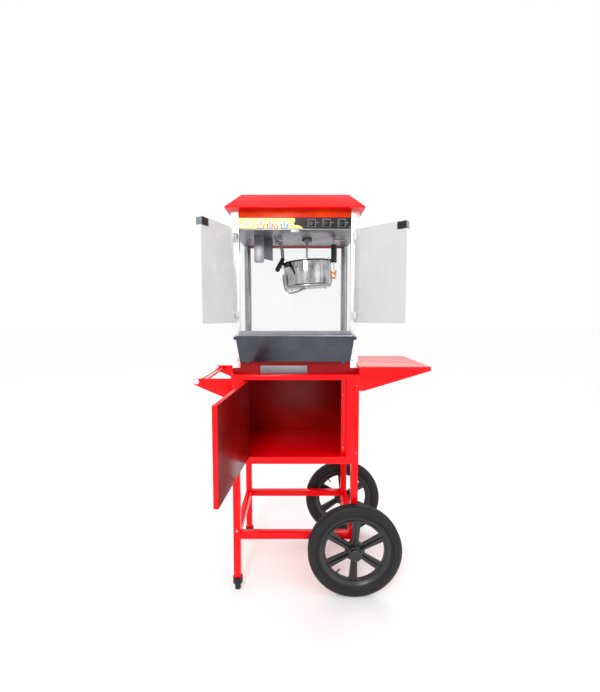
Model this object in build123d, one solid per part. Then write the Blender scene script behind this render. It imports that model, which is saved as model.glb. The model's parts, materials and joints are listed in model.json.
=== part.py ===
"""Popcorn maker on a two-wheeled cart: one STEP file for each piece.

Working frame: X runs to the right, Y runs back from the front plane of the cabinet posts, Z runs up
from the floor.
Every piece is shifted at the end, so that the origin is under the middle of the whole object.
"""
from build123d import *
import math
import os

# ---------------------------------------------------------------- overall sizes
cabinet_width = 502.0
cabinet_depth = 363.0
cabinet_height = 620.0
cart_width = 506.0
cart_depth = 394.0
cart_body_height = 360.0
cart_top_height = 891.0
cabinet_setback = 27.0
sheet = 1.5
running_gap = 0.05
body_gap = 0.4

# ---------------------------------------------------------------- legs, rails, wheels
leg_size = 28.0
leg_wall = 2.0
bolt_head_radius = 4.0
bolt_head_height = 3.2
bolt_above_rail = 9.0
bolt_inset = 22.0
handle_bolt_inset = 10.0
rail_height = 27.0
rail_level = 217.0
wheel_radius = 187.5
tyre_width = 40.0
tyre_depth = 45.0
rim_window_radius = 118.0
rim_width = 30.0
hub_radius = 28.0
hub_proud = 22.0
spoke_count = 6
spoke_width = 25.0
spoke_rib = 5.0
spoke_thickness = 12.0
hub_cap_thickness = 6.0
tyre_shoulder = 14.0
axle_collar = 5.0
axle_end_depth = 8.0
spoke_start_angle = 27.0
axle_diameter = 20.0
wheel_side_gap = 5.0
foot_height = 52.0
foot_pad_diameter = 40.0
foot_stem_diameter = 24.0
foot_pad_height = 25.0
foot_stem_in_leg = 30.0

# ---------------------------------------------------------------- cart door and its opening
stile_width = 50.0
bottom_rail_height = 29.0
top_rail_height = 21.0
cart_door_thickness = 16.0
cart_door_gap = 2.0
cart_door_rest_angle = 95.0
door_stop_width = 19.0
cart_hinge_radius = 5.0
cart_hinge_pin = 6.0
cart_hinge_length = 50.0
cart_hinge_end_gap = 35.0
cart_hinge_leaf = 22.0
cart_hinge_sheet = 2.0

# ---------------------------------------------------------------- push handle and shelf
handle_reach = 146.0
handle_bracket_height = 88.0
handle_top_drop = 15.0
handle_tube_diameter = 20.0
handle_tip_radius = 11.0
handle_end_proud = 2.0
handle_plug = 8.0
tie_rod_diameter = 10.0
bracket_sheet = 3.0
bracket_flange = 14.0
bracket_lip = 2.0
tie_rod_offset = 26.0
shelf_reach = 281.0
shelf_rise = 31.5
shelf_flange_deep = 96.0
shelf_flange_shallow = 16.0
shelf_flat_run = 19.0

# ---------------------------------------------------------------- plinth, drawer, deck, tray
ledge_height = 24.0
deck_height = 154.0
post_width = 31.0
post_depth = 30.0
drawer_left = -136.0
drawer_width = 181.0
drawer_height = 33.0
drawer_travel = 200.0
drawer_depth = drawer_travel + 50.0
drawer_gap = 1.0
drawer_face_lap = 3.0
drawer_face_thickness = 3.0
hole_diameter = 6.0
hole_pitch = 14.0
hole_columns = 14
hole_rows = 9
sill_height = 18.0
sill_front = 3.0
sill_depth = 6.0
hole_field_setback = 40.0
tray_reach = 60.0
tray_top_width = 456.0
tray_bottom_width = 434.0
tray_height = 102.0
tray_foot_depth = 22.0
tray_ear_reach = 13.0
tray_ear_drop = 4.0
tray_ear_height = 12.0
tray_ear_depth = 24.5
tray_stub_x = 190.0
tray_stub_size = 16.0
tray_stub_height = 8.0

# ---------------------------------------------------------------- posts, glass, doors
rear_tube_diameter = 32.0
rear_tube_inset = 18.0
glass_thickness = 4.0
glass_setback = 3.0
ceiling_drop = 78.0
door_height = 360.0
door_hinge_stand_off = 10.0
door_hinge_inset = 25.0
door_left_rest_angle = 111.7
door_right_rest_angle = 136.9
door_pin_diameter = 5.0
door_clamp_height = 26.0
door_clamp_length = 18.0
door_clamp_offset = 15.0
catch_width = 35.0
catch_height = 25.0
hinge_arm_reach = 6.0
hinge_arm_thickness = 4.0
hinge_plate_reach = 20.0
hinge_plate_thickness = 2.0
door_edge_gap = 1.0
door_heel_gap = 8.0
pull_stand_off = 20.0

# ---------------------------------------------------------------- head: housing, panel, roof
panel_drop = 31.0
panel_height = 42.5
panel_thickness = 2.0
switch_size = 27.0
switch_centres = (65.0, 123.0, 182.0)
switch_level_drop = 51.5
rocker_width = 19.0
rocker_height = 20.4
rocker_tilt = 7.0
rocker_pin_diameter = 3.0
rocker_pin_reach = 1.2
rocker_axis_depth = 1.0
bezel_depth = 24.0
bezel_pocket = 16.0
roof_overhang_side = 19.0
roof_overhang_front = 30.0
roof_rise = 62.0
roof_inset = 57.5
roof_lip = 3.0
roof_return = 36.0

# ---------------------------------------------------------------- drive, lamp, kettle
kettle_x = 50.0
kettle_y = 182.0
kettle_rim_height = 1355.0
kettle_roll = -4.0
kettle_radius = 105.0
kettle_height = 101.0
kettle_wall = 1.5
kettle_floor = 4.0
pivot_back = 18.0
pivot_rise = 8.0
pivot_diameter = 10.0
shaft_diameter = 10.0
boss_diameter = 44.0
boss_height = 13.0
shaft_rise = 17.0
shaft_above_ceiling = 22.0
gearbox_half_width = 40.0
gearbox_half_depth = 32.0
gearbox_height = 34.0
motor_radius = 27.0
motor_length = 72.0
bridge_half = 12.0
lid_hinge_rise = 4.0
lid_pin_radius = 1.5
lid_pin_reach = 36.0
lid_barrel_x = 22.0
lid_barrel_half = 8.0
lid_tab_half = 14.0
lid_tab_y = 62.0
lid_tab_rise = 9.0
lug_half = 11.0
lug_drop = 14.0
lug_rise = 10.0
rim_roll = 2.5
base_height = 9.0
base_screw_radius = 4.5
dump_handle_diameter = 19.0
dump_arm_angle = 209.0
base_screw_angles = (30, 150, 255, 270, 285)
hanger_left_x = -61.0
hanger_right_x = 169.0
hanger_thickness = 4.0
hanger_width = 22.0
grip_diameter = 26.0
grip_length = 80.0
strap_below_pivot = 24.0
hanger_foot_half = 14.0
hanger_foot_sheet = 3.0
shoe_drop = 69.0
shoe_left_x = 160.5
shoe_width = 19.5
shoe_top_drop = 31.0
shoe_slot_angle = 38.0
hose_radius = 7.0
lamp_left = -175.0
lamp_front_width = 42.0
lamp_depth = 70.0
lamp_front_y = 120.0
lamp_length = 110.0
lamp_corner_radius = 9.0
lamp_wing_angle = 62.0
lamp_wing_rise = 16.0
bulb_radius = 24.0
bulb_neck_radius = 13.0
bulb_drop = 48.0

# ---------------------------------------------------------------- worked-out places
half_cabinet = cabinet_width / 2
half_cart = cart_width / 2
cart_front = -cabinet_setback
cart_rear = cart_front + cart_depth
cart_bottom = cart_top_height - cart_body_height
opening_half = half_cart - stile_width
opening_low = cart_bottom + bottom_rail_height
opening_high = cart_top_height - top_rail_height
roof_eave = cart_top_height + cabinet_height + 24.0
panel_top = roof_eave - panel_drop
panel_low = panel_top - panel_height
ceiling_level = roof_eave - ceiling_drop
deck_level = cart_top_height + deck_height
ledge_level = cart_top_height + ledge_height
leg_inner = half_cart - sheet - leg_size
wheel_x = half_cart - sheet - leg_size / 2
wheel_front_y = cart_front - wheel_side_gap - tyre_width / 2
wheel_rear_y = cart_rear + wheel_side_gap + tyre_width / 2
door_axis_y = -door_hinge_stand_off
door_axis_x = half_cabinet - door_hinge_inset
door_top = ceiling_level - sheet + 0.5
door_low = door_top - door_height
cart_hinge_x = -opening_half
cart_hinge_y = cart_front - cart_hinge_radius
tray_low = deck_level - tray_height
inlet_x = -half_cabinet + 70.0
inlet_z = ceiling_level + 38.0
shaft_low = kettle_rim_height + shaft_rise
lid_radius = kettle_radius - 10.0
lug_inner = kettle_radius - 10.0
lug_outer = kettle_radius - 5.0
lid_hinge_y = bridge_half + 4.0
dump_handle_start = (-kettle_radius + 2.5, -67.0, 12.0)
dump_handle_end = (-kettle_radius - 21.5, -122.0, -37.0)
base_low = -kettle_height - base_height


def block(x0, x1, y0, y1, z0, z1):
    """Box between two corners."""
    return Pos((x0 + x1) / 2, (y0 + y1) / 2, (z0 + z1) / 2) * Box(x1 - x0, y1 - y0, z1 - z0)


def rod(start, end, radius):
    """Round bar from one point to another."""
    a = Vector(*start)
    b = Vector(*end)
    plane = Plane(origin=(a + b) / 2, z_dir=b - a)
    return plane * Cylinder(radius, (b - a).length)


def upright(x, y, z0, z1, radius):
    """Vertical round bar."""
    return rod((x, y, z0), (x, y, z1), radius)


def along_y(x, z, y0, y1, radius):
    """Round bar along Y."""
    return rod((x, y0, z), (x, y1, z), radius)


def turned(shape, x, y, degrees):
    """Shape turned about a vertical axis."""
    return Pos(x, y, 0) * Rot(0, 0, degrees) * Pos(-x, -y, 0) * shape


def side_plate(points, y0, y1):
    """Plate with an X-Z outline, between two depths."""
    face = make_face(Polyline(*[(x, z) for x, z in points], close=True))
    return Pos(0, y1, 0) * (Rot(90, 0, 0) * extrude(face, y1 - y0))


# ---------------------------------------------------------------- cart
def cart_sides():
    inner = half_cart - sheet
    y0 = cart_front + sheet
    y1 = cart_rear - sheet
    left = block(-half_cart, -inner, y0, y1, cart_bottom, cart_top_height - sheet)
    right = block(inner, half_cart, y0, y1, cart_bottom, cart_top_height - sheet)
    return left + right


def cart_back():
    return block(-half_cart, half_cart, cart_rear - sheet, cart_rear, cart_bottom, cart_top_height - sheet)


def cart_floor():
    inner = half_cart - sheet
    return block(-inner, inner, cart_front + sheet, cart_rear - sheet, opening_low - sheet, opening_low)


def cart_top_panel():
    return block(-half_cart, half_cart, cart_front, cart_rear, cart_top_height - sheet, cart_top_height)


def cart_front_frame():
    top = cart_top_height - sheet
    jamb_depth = cart_front + cart_door_thickness + body_gap + sheet
    plate = block(-half_cart, half_cart, cart_front, cart_front + sheet, cart_bottom, top)
    plate += block(-opening_half - sheet, opening_half + sheet, cart_front, jamb_depth,
                   opening_low, opening_high + sheet)
    plate -= block(-opening_half, opening_half, cart_front - 1, jamb_depth + 1, opening_low, opening_high)
    stop = block(opening_half - door_stop_width, opening_half, jamb_depth - sheet, jamb_depth,
                 opening_low, opening_high)
    return plate + stop


def leg(x0, y0, low):
    tube = block(x0, x0 + leg_size, y0, y0 + leg_size, low, opening_low - sheet)
    inner = block(x0 + leg_wall, x0 + leg_size - leg_wall, y0 + leg_wall, y0 + leg_size - leg_wall,
                  low - 1, opening_low)
    return tube - inner


def leg_frames():
    front = cart_front + sheet
    rear = cart_rear - sheet - leg_size
    frames = []
    for x0, low in ((-half_cart + sheet, foot_height), (leg_inner, wheel_radius - leg_size)):
        frame = leg(x0, front, low) + leg(x0, rear, low)
        rail = block(x0, x0 + leg_size, front + leg_size, rear, rail_level, rail_level + rail_height)
        rail -= block(x0 + leg_wall, x0 + leg_size - leg_wall, front + leg_size - 1, rear + 1,
                      rail_level + leg_wall, rail_level + rail_height - leg_wall)
        frame += rail
        frames.append(frame)
    bore = along_y(wheel_x, wheel_radius, cart_front - 10, cart_rear + 10, axle_diameter / 2)
    return frames[0] + (frames[1] - bore)


def cross_rails():
    rails = []
    reach = half_cart - sheet - leg_size
    for y0 in (cart_front + sheet, cart_rear - sheet - leg_size):
        rail = block(-reach, reach, y0, y0 + leg_size, rail_level, rail_level + rail_height)
        rail -= block(-reach - 1, reach + 1, y0 + leg_wall, y0 + leg_size - leg_wall,
                      rail_level + leg_wall, rail_level + rail_height - leg_wall)
        rails.append(rail)
    return rails[0] + rails[1]


def levelling_feet():
    feet = []
    x = -half_cart + sheet + leg_size / 2
    for y in (cart_front + sheet + leg_size / 2, cart_rear - sheet - leg_size / 2):
        foot = upright(x, y, 0, foot_pad_height, foot_stem_diameter / 2)
        foot += upright(x, y, foot_pad_height, foot_height, foot_pad_diameter / 2)
        foot += upright(x, y, foot_height, foot_height + foot_stem_in_leg, foot_stem_diameter / 2 - leg_wall)
        feet.append(foot)
    return feet[0] + feet[1]


def wheel_axle():
    reach = wheel_side_gap + tyre_width + hub_proud - axle_end_depth
    bar = along_y(wheel_x, wheel_radius, cart_front - reach, cart_rear + reach, axle_diameter / 2)
    for y0, y1 in ((cart_front + sheet, cart_front - wheel_side_gap + 1),
                   (cart_rear - sheet, cart_rear + wheel_side_gap - 1)):
        bar += along_y(wheel_x, wheel_radius, y0, y1, axle_diameter / 2 + axle_collar)
    return bar


def wheel_rim(y, outward):
    """Moulded rim with ribbed spokes; outward is the side of the hub cap."""
    inner_radius = wheel_radius - tyre_depth
    rim = Cylinder(inner_radius, rim_width) - Cylinder(rim_window_radius, rim_width + 2)
    hub_start = -tyre_width / 2
    hub = Pos(0, 0, hub_start + (tyre_width + hub_proud) / 2) * Cylinder(hub_radius, tyre_width + hub_proud)
    rim += hub
    for index in range(spoke_count):
        angle = spoke_start_angle + index * 360 / spoke_count
        reach = rim_window_radius + 3
        spoke = Pos(reach / 2, 0, 0) * Box(reach, spoke_width, spoke_thickness)
        rib = Pos(reach / 2, 0, 3) * Box(reach, spoke_rib, rim_width - 6)
        rim += Rot(0, 0, angle) * (spoke + rib)
    bore_depth = tyre_width + hub_proud - hub_cap_thickness
    bore_radius = axle_diameter / 2 + running_gap
    rim -= Pos(0, 0, hub_start + bore_depth / 2 - 1) * Cylinder(bore_radius, bore_depth + 2)
    return Pos(wheel_x, y, wheel_radius) * Rot(90 if outward < 0 else -90, 0, 0) * rim


def wheel_tyre(y):
    inner_radius = wheel_radius - tyre_depth
    tyre = Cylinder(wheel_radius, tyre_width)
    tyre = fillet(tyre.edges(), tyre_shoulder)
    tyre -= Cylinder(inner_radius, tyre_width + 2)
    return Pos(wheel_x, y, wheel_radius) * Rot(90, 0, 0) * tyre


def cart_door():
    half_gap = cart_door_gap
    low = opening_low + half_gap
    high = opening_high - half_gap
    x0 = -opening_half + half_gap
    x1 = opening_half - half_gap
    pan = block(x0, x1, cart_front, cart_front + cart_door_thickness, low, high)
    pan -= block(x0 + sheet, x1 - sheet, cart_front + sheet, cart_front + cart_door_thickness - sheet,
                 low + sheet, high - sheet)
    return turned(pan, cart_hinge_x, cart_hinge_y, -cart_door_rest_angle)


def cart_hinge_levels():
    return (opening_low + cart_hinge_end_gap, opening_high - cart_hinge_end_gap - cart_hinge_length)


def cart_hinge_leaves():
    leaves = Part()
    third = cart_hinge_length / 3
    for z in cart_hinge_levels():
        plate_front = cart_front - cart_hinge_sheet
        leaf = block(cart_hinge_x - cart_hinge_leaf, cart_hinge_x - cart_hinge_radius - body_gap,
                     plate_front, cart_front, z, z + cart_hinge_length)
        for z0 in (z, z + 2 * third):
            leaf += upright(cart_hinge_x, cart_hinge_y, z0, z0 + third, cart_hinge_radius)
            leaf += block(cart_hinge_x - 8, cart_hinge_x, plate_front, cart_front, z0, z0 + third)
        leaf += upright(cart_hinge_x, cart_hinge_y, z, z + cart_hinge_length, cart_hinge_pin / 2)
        leaves += leaf
    return leaves


def cart_door_knuckles():
    knuckles = Part()
    third = cart_hinge_length / 3
    for z in cart_hinge_levels():
        z0 = z + third + body_gap
        z1 = z + 2 * third - body_gap
        barrel = upright(cart_hinge_x, cart_hinge_y, z0, z1, cart_hinge_radius)
        barrel += block(cart_hinge_x, cart_hinge_x + cart_hinge_leaf, cart_front - cart_hinge_sheet,
                        cart_front, z0, z1)
        bore_radius = cart_hinge_pin / 2 + running_gap
        barrel -= upright(cart_hinge_x, cart_hinge_y, z, z + cart_hinge_length, bore_radius)
        knuckles += turned(barrel, cart_hinge_x, cart_hinge_y, -cart_door_rest_angle)
    return knuckles


def bracket_outline():
    top = cart_top_height - handle_top_drop
    tip = -half_cart - handle_reach
    return [(-half_cart, top), (tip, top), (tip, top - handle_tube_diameter - 2 * bracket_lip),
            (-half_cart, top - handle_bracket_height)]


def handle_tube_place():
    top = cart_top_height - handle_top_drop
    return (-half_cart - handle_reach + handle_tip_radius, top - handle_tube_diameter / 2 - bracket_lip)


def tie_rod_place():
    x, z = handle_tube_place()
    return (x + tie_rod_offset, z - bracket_lip)


def handle_brackets():
    tube_x, tube_z = handle_tube_place()
    rod_x, rod_z = tie_rod_place()
    plates = Part()
    for y in (cart_front, cart_rear - bracket_sheet):
        plate = side_plate(bracket_outline(), y, y + bracket_sheet)
        plate = fillet(plate.edges().filter_by(Axis.Y).group_by(Axis.X)[0], handle_tip_radius)
        flange_y = y + bracket_sheet if y == cart_front else y - bracket_flange
        top = cart_top_height - handle_top_drop
        plate += block(-half_cart - sheet * 2, -half_cart, flange_y, flange_y + bracket_flange,
                       top - handle_bracket_height, top)
        plate -= along_y(tube_x, tube_z, y - 1, y + bracket_sheet + 1, handle_tube_diameter / 2)
        plate -= along_y(rod_x, rod_z, y - 1, y + bracket_sheet + 1, tie_rod_diameter / 2)
        plates += plate
    return plates


def push_handle():
    x, z = handle_tube_place()
    front = cart_front - handle_end_proud
    rear = cart_rear + handle_end_proud
    tube = along_y(x, z, front, rear, handle_tube_diameter / 2)
    return tube - along_y(x, z, front + handle_plug, rear - handle_plug, handle_tube_diameter / 2 - sheet)


def handle_tie_rod():
    x, z = tie_rod_place()
    return along_y(x, z, cart_front, cart_rear, tie_rod_diameter / 2)


def side_shelf():
    top = cart_top_height + shelf_rise
    edge = half_cart + shelf_reach
    plate = block(half_cart, edge, cart_front, cart_rear, top - sheet, top)
    outline = [(half_cart, top), (edge, top), (edge, top - shelf_flange_shallow),
               (half_cart + shelf_flat_run, top - shelf_flange_deep), (half_cart, top - shelf_flange_deep)]
    plate += side_plate(outline, cart_front, cart_front + sheet)
    plate += side_plate(outline, cart_rear - sheet, cart_rear)
    plate += block(edge - sheet, edge, cart_front, cart_rear, top - shelf_flange_shallow, top)
    plate += block(half_cart, half_cart + sheet, cart_front, cart_rear, top - shelf_flange_deep, top)
    return plate


def bolt(x, y, z, direction):
    """Bolt head standing on a face at (x, y, z)."""
    head = Pos(0, 0, bolt_head_height / 2) * Cylinder(bolt_head_radius, bolt_head_height)
    return Plane(origin=(x, y, z), z_dir=direction) * head


def frame_bolts():
    heads = Part()
    leg_x = half_cart - sheet - leg_size / 2
    for side in (-1, 1):
        z = rail_level + rail_height + bolt_above_rail
        heads += bolt(side * leg_x, cart_front + sheet, z, (0, -1, 0))
        heads += bolt(side * leg_x, cart_rear - sheet, z, (0, 1, 0))
    for y in (cart_front + bolt_inset, cart_rear - bolt_inset):
        heads += bolt(half_cart + sheet, y, cart_top_height - bolt_inset, (1, 0, 0))
    for y in (cart_front + handle_bolt_inset, cart_rear - handle_bolt_inset):
        heads += bolt(-half_cart - 2 * sheet, y, cart_top_height - 2 * bolt_inset, (-1, 0, 0))
    return heads


# ---------------------------------------------------------------- cabinet
def notched_outline(inset, z0, z1):
    """Cabinet footprint less the two front post corners, drawn in by an inset."""
    half = half_cabinet - inset
    shape = block(-half, half, inset, cabinet_depth - inset, z0, z1)
    for side in (-1, 1):
        corner = half_cabinet - post_width - inset
        x0, x1 = sorted((side * corner, side * (half_cabinet + 1)))
        shape -= block(x0, x1, -1, post_depth + inset, z0 - 1, z1 + 1)
    return shape


def plinth():
    low = cart_top_height
    top = deck_level - sheet
    outer = block(-half_cabinet, half_cabinet, 0, cabinet_depth, low, ledge_level)
    outer += notched_outline(0, ledge_level, top)
    wide = half_cabinet - sheet
    inner = block(-wide, wide, sheet, cabinet_depth - sheet, low - 1, ledge_level - sheet)
    inner += notched_outline(sheet, ledge_level - sheet - 1, top + 1)
    shell = outer - inner
    return shell - block(drawer_left, drawer_left + drawer_width, -1, sheet + 1,
                         low + sheet, low + drawer_height - sheet)


def kernel_drawer():
    x0 = drawer_left + drawer_gap
    x1 = drawer_left + drawer_width - drawer_gap
    low = cart_top_height + sheet + drawer_gap
    high = cart_top_height + drawer_height - sheet - drawer_gap
    tray = block(x0, x1, 0, drawer_depth, low, high)
    tray -= block(x0 + sheet, x1 - sheet, sheet, drawer_depth - sheet, low + sheet, high + 1)
    face = block(drawer_left - drawer_face_lap, drawer_left + drawer_width + drawer_face_lap,
                 -body_gap - drawer_face_thickness, -body_gap,
                 cart_top_height + drawer_gap, cart_top_height + drawer_height)
    face = fillet(face.edges().filter_by(Axis.Y), drawer_face_lap)
    neck = block(x0, x1, -body_gap - 1, 1, low, high)
    return tray + face + neck


def deck_plate():
    top = deck_level
    plate = notched_outline(0, top - sheet, top)
    plate += block(-half_cabinet + post_width, half_cabinet - post_width,
                   sill_front, sill_front + sill_depth, top, top + sill_height)
    spots = GridLocations(hole_pitch, hole_pitch, hole_columns, hole_rows)
    drill = Pos(drawer_left + drawer_width / 2, drawer_depth / 2 + hole_field_setback, top) * spots
    holes = [place * Cylinder(hole_diameter / 2, 4 * sheet) for place in drill]
    return plate - holes


def tray_shell(inset):
    """Tapered trough body, drawn in by an inset."""
    back = -sheet
    upper = Rectangle(tray_top_width - 2 * inset, tray_reach + back - 2 * inset)
    lower = Rectangle(tray_bottom_width - 2 * inset, tray_foot_depth - 2 * inset)
    upper_y = (back - tray_reach) / 2
    lower_y = back - tray_foot_depth / 2
    top_z = deck_level + (1 if inset else 0)
    low_z = tray_low + inset
    return loft([Pos(0, lower_y, low_z) * lower, Pos(0, upper_y, top_z) * upper])


def front_tray():
    tray = tray_shell(0) - tray_shell(sheet)
    half_top = tray_top_width / 2
    ear_top = deck_level - tray_ear_drop
    stub_half = tray_stub_size / 2
    for side in (-1, 1):
        x0, x1 = sorted((side * (half_top - 4), side * (half_top + tray_ear_reach)))
        tray += block(x0, x1, -sheet - tray_ear_depth, -sheet, ear_top - tray_ear_height, ear_top)
        stub_x = side * tray_stub_x
        tray += block(stub_x - stub_half, stub_x + stub_half, -stub_half - 4, -4,
                      tray_low - tray_stub_height, tray_low)
    return tray


def front_posts():
    posts = Part()
    for side in (-1, 1):
        x0, x1 = sorted((side * (half_cabinet - post_width), side * half_cabinet))
        tube = block(x0, x1, 0, post_depth, ledge_level, roof_eave)
        tube -= block(x0 + sheet, x1 - sheet, sheet, post_depth - sheet, ledge_level - 1, roof_eave + 1)
        posts += tube
    return posts


def rear_tube_places():
    x = half_cabinet - rear_tube_inset
    y = cabinet_depth - rear_tube_inset
    return ((-x, y), (x, y))


def rear_tubes():
    tubes = Part()
    radius = rear_tube_diameter / 2
    for x, y in rear_tube_places():
        tube = upright(x, y, deck_level, ceiling_level, radius)
        tubes += tube - upright(x, y, deck_level - 1, ceiling_level + 1, radius - sheet)
    return tubes


def glass_panes():
    low = deck_level
    high = ceiling_level
    radius = rear_tube_diameter / 2
    tube_x, tube_y = rear_tube_places()[1]
    side_end = tube_y - radius
    panes = Part()
    for side in (-1, 1):
        outer = half_cabinet - glass_setback
        x0, x1 = sorted((side * outer, side * (outer - glass_thickness)))
        panes += block(x0, x1, post_depth, side_end, low, high)
    panes += block(-tube_x + radius, tube_x - radius, 
                   cabinet_depth - glass_setback - glass_thickness, cabinet_depth - glass_setback,
                   low, high)
    return panes


def ceiling_pan():
    pan = notched_outline(0, ceiling_level, ceiling_level + sheet)
    pan -= block(-half_cabinet - 1, half_cabinet + 1, cabinet_depth - sheet, cabinet_depth + 1,
                 ceiling_level - 1, ceiling_level + sheet + 1)
    front = half_cabinet - post_width
    pan += block(-front, front, 0, sheet, ceiling_level, panel_low)
    return pan - upright(kettle_x, kettle_y, ceiling_level - 1, ceiling_level + 5, boss_diameter / 4)


def top_housing():
    low = ceiling_level + sheet
    outer = notched_outline(0, low, roof_eave)
    front = half_cabinet - post_width
    inner = notched_outline(sheet, low - 1, roof_eave - sheet)
    shell = outer - inner
    shell -= block(-front, front, -1, sheet + 1, low - 1, panel_top)
    shell += block(-half_cabinet + sheet, half_cabinet - sheet, cabinet_depth - sheet, cabinet_depth,
                   ceiling_level - 8, low)
    shell -= block(inlet_x - 14, inlet_x + 14, cabinet_depth - sheet - 1, cabinet_depth + 1,
                   inlet_z - 10, inlet_z + 10)
    lip = block(-front, front, -3, 0, panel_top, panel_top + 4)
    return shell + lip


def switch_level():
    return roof_eave - switch_level_drop


def panel_holes():
    level = switch_level()
    half = switch_size / 2 - 1
    return [block(x - half, x + half, -5, 10, level - half, level + half) for x in switch_centres]


def control_panel():
    half = half_cabinet - post_width
    return block(-half, half, 0, panel_thickness, panel_low, panel_top) - panel_holes()


def rocker_pin(x, radius, play=0.0):
    """Pivot pin of the rocker at x."""
    reach = rocker_width / 2 + rocker_pin_reach + play
    level = switch_level()
    return rod((x - reach, rocker_axis_depth, level), (x + reach, rocker_axis_depth, level), radius)


def switch_bezels():
    level = switch_level()
    half = switch_size / 2
    inside_x = rocker_width / 2 + body_gap
    inside_z = rocker_height / 2 + 1.6
    bezels = Part()
    for x in switch_centres:
        bezel = block(x - half, x + half, -2, 0, level - half, level + half)
        bezel += block(x - half + 1, x + half - 1, 0, bezel_depth, level - half + 1, level + half - 1)
        bezel -= block(x - inside_x, x + inside_x, -3, bezel_pocket, level - inside_z, level + inside_z)
        bezel -= rocker_pin(x, rocker_pin_diameter / 2 + running_gap, body_gap + running_gap)
        bezels += bezel
    return bezels


def rocker(x):
    half = rocker_height / 2
    outline = [(-4.4, half), (-3.0, 0), (-4.4, -half), (4.5, -half + 2.5), (4.5, half - 2.5)]
    face = make_face(Polyline(*outline, close=True))
    bar = Plane.YZ * extrude(face, rocker_width / 2, both=True)
    bar = Pos(x, rocker_axis_depth, switch_level()) * Rot(-rocker_tilt, 0, 0) * bar
    return bar + rocker_pin(x, rocker_pin_diameter / 2)


def roof_shape(inset):
    width = cabinet_width + 2 * roof_overhang_side - 2 * inset
    depth = cabinet_depth + 2 * roof_overhang_front - 2 * inset
    low = roof_eave + (inset if inset else 0)
    eave = roof_eave + roof_lip
    top = roof_eave + roof_lip + roof_rise - inset
    middle = Pos(0, cabinet_depth / 2, 0)
    skirt = Pos(0, 0, low) * extrude(Rectangle(width, depth), eave - low)
    hip = loft([Pos(0, 0, eave) * Rectangle(width, depth),
                Pos(0, 0, top) * Rectangle(width - 2 * roof_inset, depth - 2 * roof_inset)])
    return middle * (skirt + hip)


def roof_canopy():
    shell = roof_shape(0) - roof_shape(sheet)
    half = half_cabinet + roof_overhang_side - roof_return
    front = roof_return - roof_overhang_front
    return shell - block(-half, half, front, cabinet_depth - front, roof_eave - 1, roof_eave + sheet + 0.5)


# ---------------------------------------------------------------- glass doors
def door_clamp_levels():
    return (door_low + door_clamp_offset, door_top - door_clamp_offset - door_clamp_height)


def door_pane(side):
    """Closed glass leaf; side is -1 for the left door and 1 for the right one."""
    x0, x1 = sorted((side * door_edge_gap, side * (door_axis_x - door_heel_gap)))
    half = glass_thickness / 2
    return block(x0, x1, door_axis_y - half, door_axis_y + half, door_low, door_top)


def swing(shape, side):
    """Carries a closed door piece to the door's resting angle."""
    angle = -door_left_rest_angle if side < 0 else door_right_rest_angle
    return turned(shape, side * door_axis_x, door_axis_y, angle)


def door_glass(side):
    return swing(door_pane(side), side)


def door_fittings(side):
    """Two hinge clamps, and the catch plate with its bent pull at the outer top corner."""
    half = glass_thickness / 2
    axis_x = side * door_axis_x
    parts = Part()
    for z in door_clamp_levels():
        x0, x1 = sorted((axis_x, axis_x - side * door_clamp_length))
        clamp = block(x0, x1, door_axis_y - 5, door_axis_y + 5, z, z + door_clamp_height)
        clamp += upright(axis_x, door_axis_y, z, z + door_clamp_height, 5)
        bore_radius = door_pin_diameter / 2 + running_gap
        clamp -= upright(axis_x, door_axis_y, z - 1, z + door_clamp_height + 1, bore_radius)
        parts += clamp - door_pane(side)
    edge = side * door_edge_gap
    x0, x1 = sorted((edge, edge + side * catch_width))
    top = door_top - 3
    catch = block(x0, x1, door_axis_y + half, door_axis_y + half + 2.5, top - catch_height, top)
    pull = block(x0, x1, door_axis_y - half - 1.5, door_axis_y - half, top - catch_height, top)
    p0, p1 = sorted((edge + side * 2, edge + side * 3.5))
    pull += block(p0, p1, door_axis_y - half - pull_stand_off, door_axis_y - half, top - catch_height, top)
    parts += catch
    parts += pull
    return swing(parts, side)


def post_hinges():
    """Fixed hinge brackets: a plate on the post, two arms and the pin between them."""
    hinges = Part()
    for side in (-1, 1):
        axis_x = side * door_axis_x
        for z in door_clamp_levels():
            low = z - body_gap
            high = z + door_clamp_height + body_gap
            x0, x1 = sorted((axis_x + side * 2, axis_x + side * hinge_plate_reach))
            arm = hinge_arm_thickness
            bracket = block(x0, x1, -hinge_plate_thickness, 0, low - arm, high + arm)
            for z0 in (low - arm, high):
                ax0, ax1 = sorted((axis_x, axis_x + side * hinge_arm_reach))
                bracket += block(ax0, ax1, door_axis_y - arm, 0, z0, z0 + arm)
                bracket += upright(axis_x, door_axis_y, z0, z0 + arm, arm)
            bracket += upright(axis_x, door_axis_y, low - arm, high + arm, door_pin_diameter / 2)
            hinges += bracket
    return hinges


def magnetic_catches():
    """Door catch under the control panel, and two catches on the cart's door stop."""
    catches = block(-16, 16, 0, 14, ceiling_level - 7, ceiling_level)
    x = opening_half - door_stop_width / 2
    rear = cart_front + cart_door_thickness + body_gap + sheet
    for z in (opening_low + 32, opening_high - 64):
        catches += block(x - 7, x + 7, rear, rear + 10, z - 9, z + 9)
    return catches


# ---------------------------------------------------------------- drive and lamp
def gear_motor():
    low = ceiling_level + sheet
    x = kettle_x
    y = kettle_y
    box = block(x - gearbox_half_width, x + gearbox_half_width,
                y - gearbox_half_depth, y + gearbox_half_depth, low, low + gearbox_height)
    box += block(x - 30, x + 30, y - 24, y + 24, low + gearbox_height, low + gearbox_height + 12)
    motor = Rot(90, 0, 0) * Cylinder(motor_radius, motor_length)
    box += Pos(x, y + gearbox_half_depth + motor_length / 2 - 1, low + 30) * motor
    return box - upright(kettle_x, kettle_y, low - 1, low + 26, shaft_diameter / 2 + running_gap)


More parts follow.
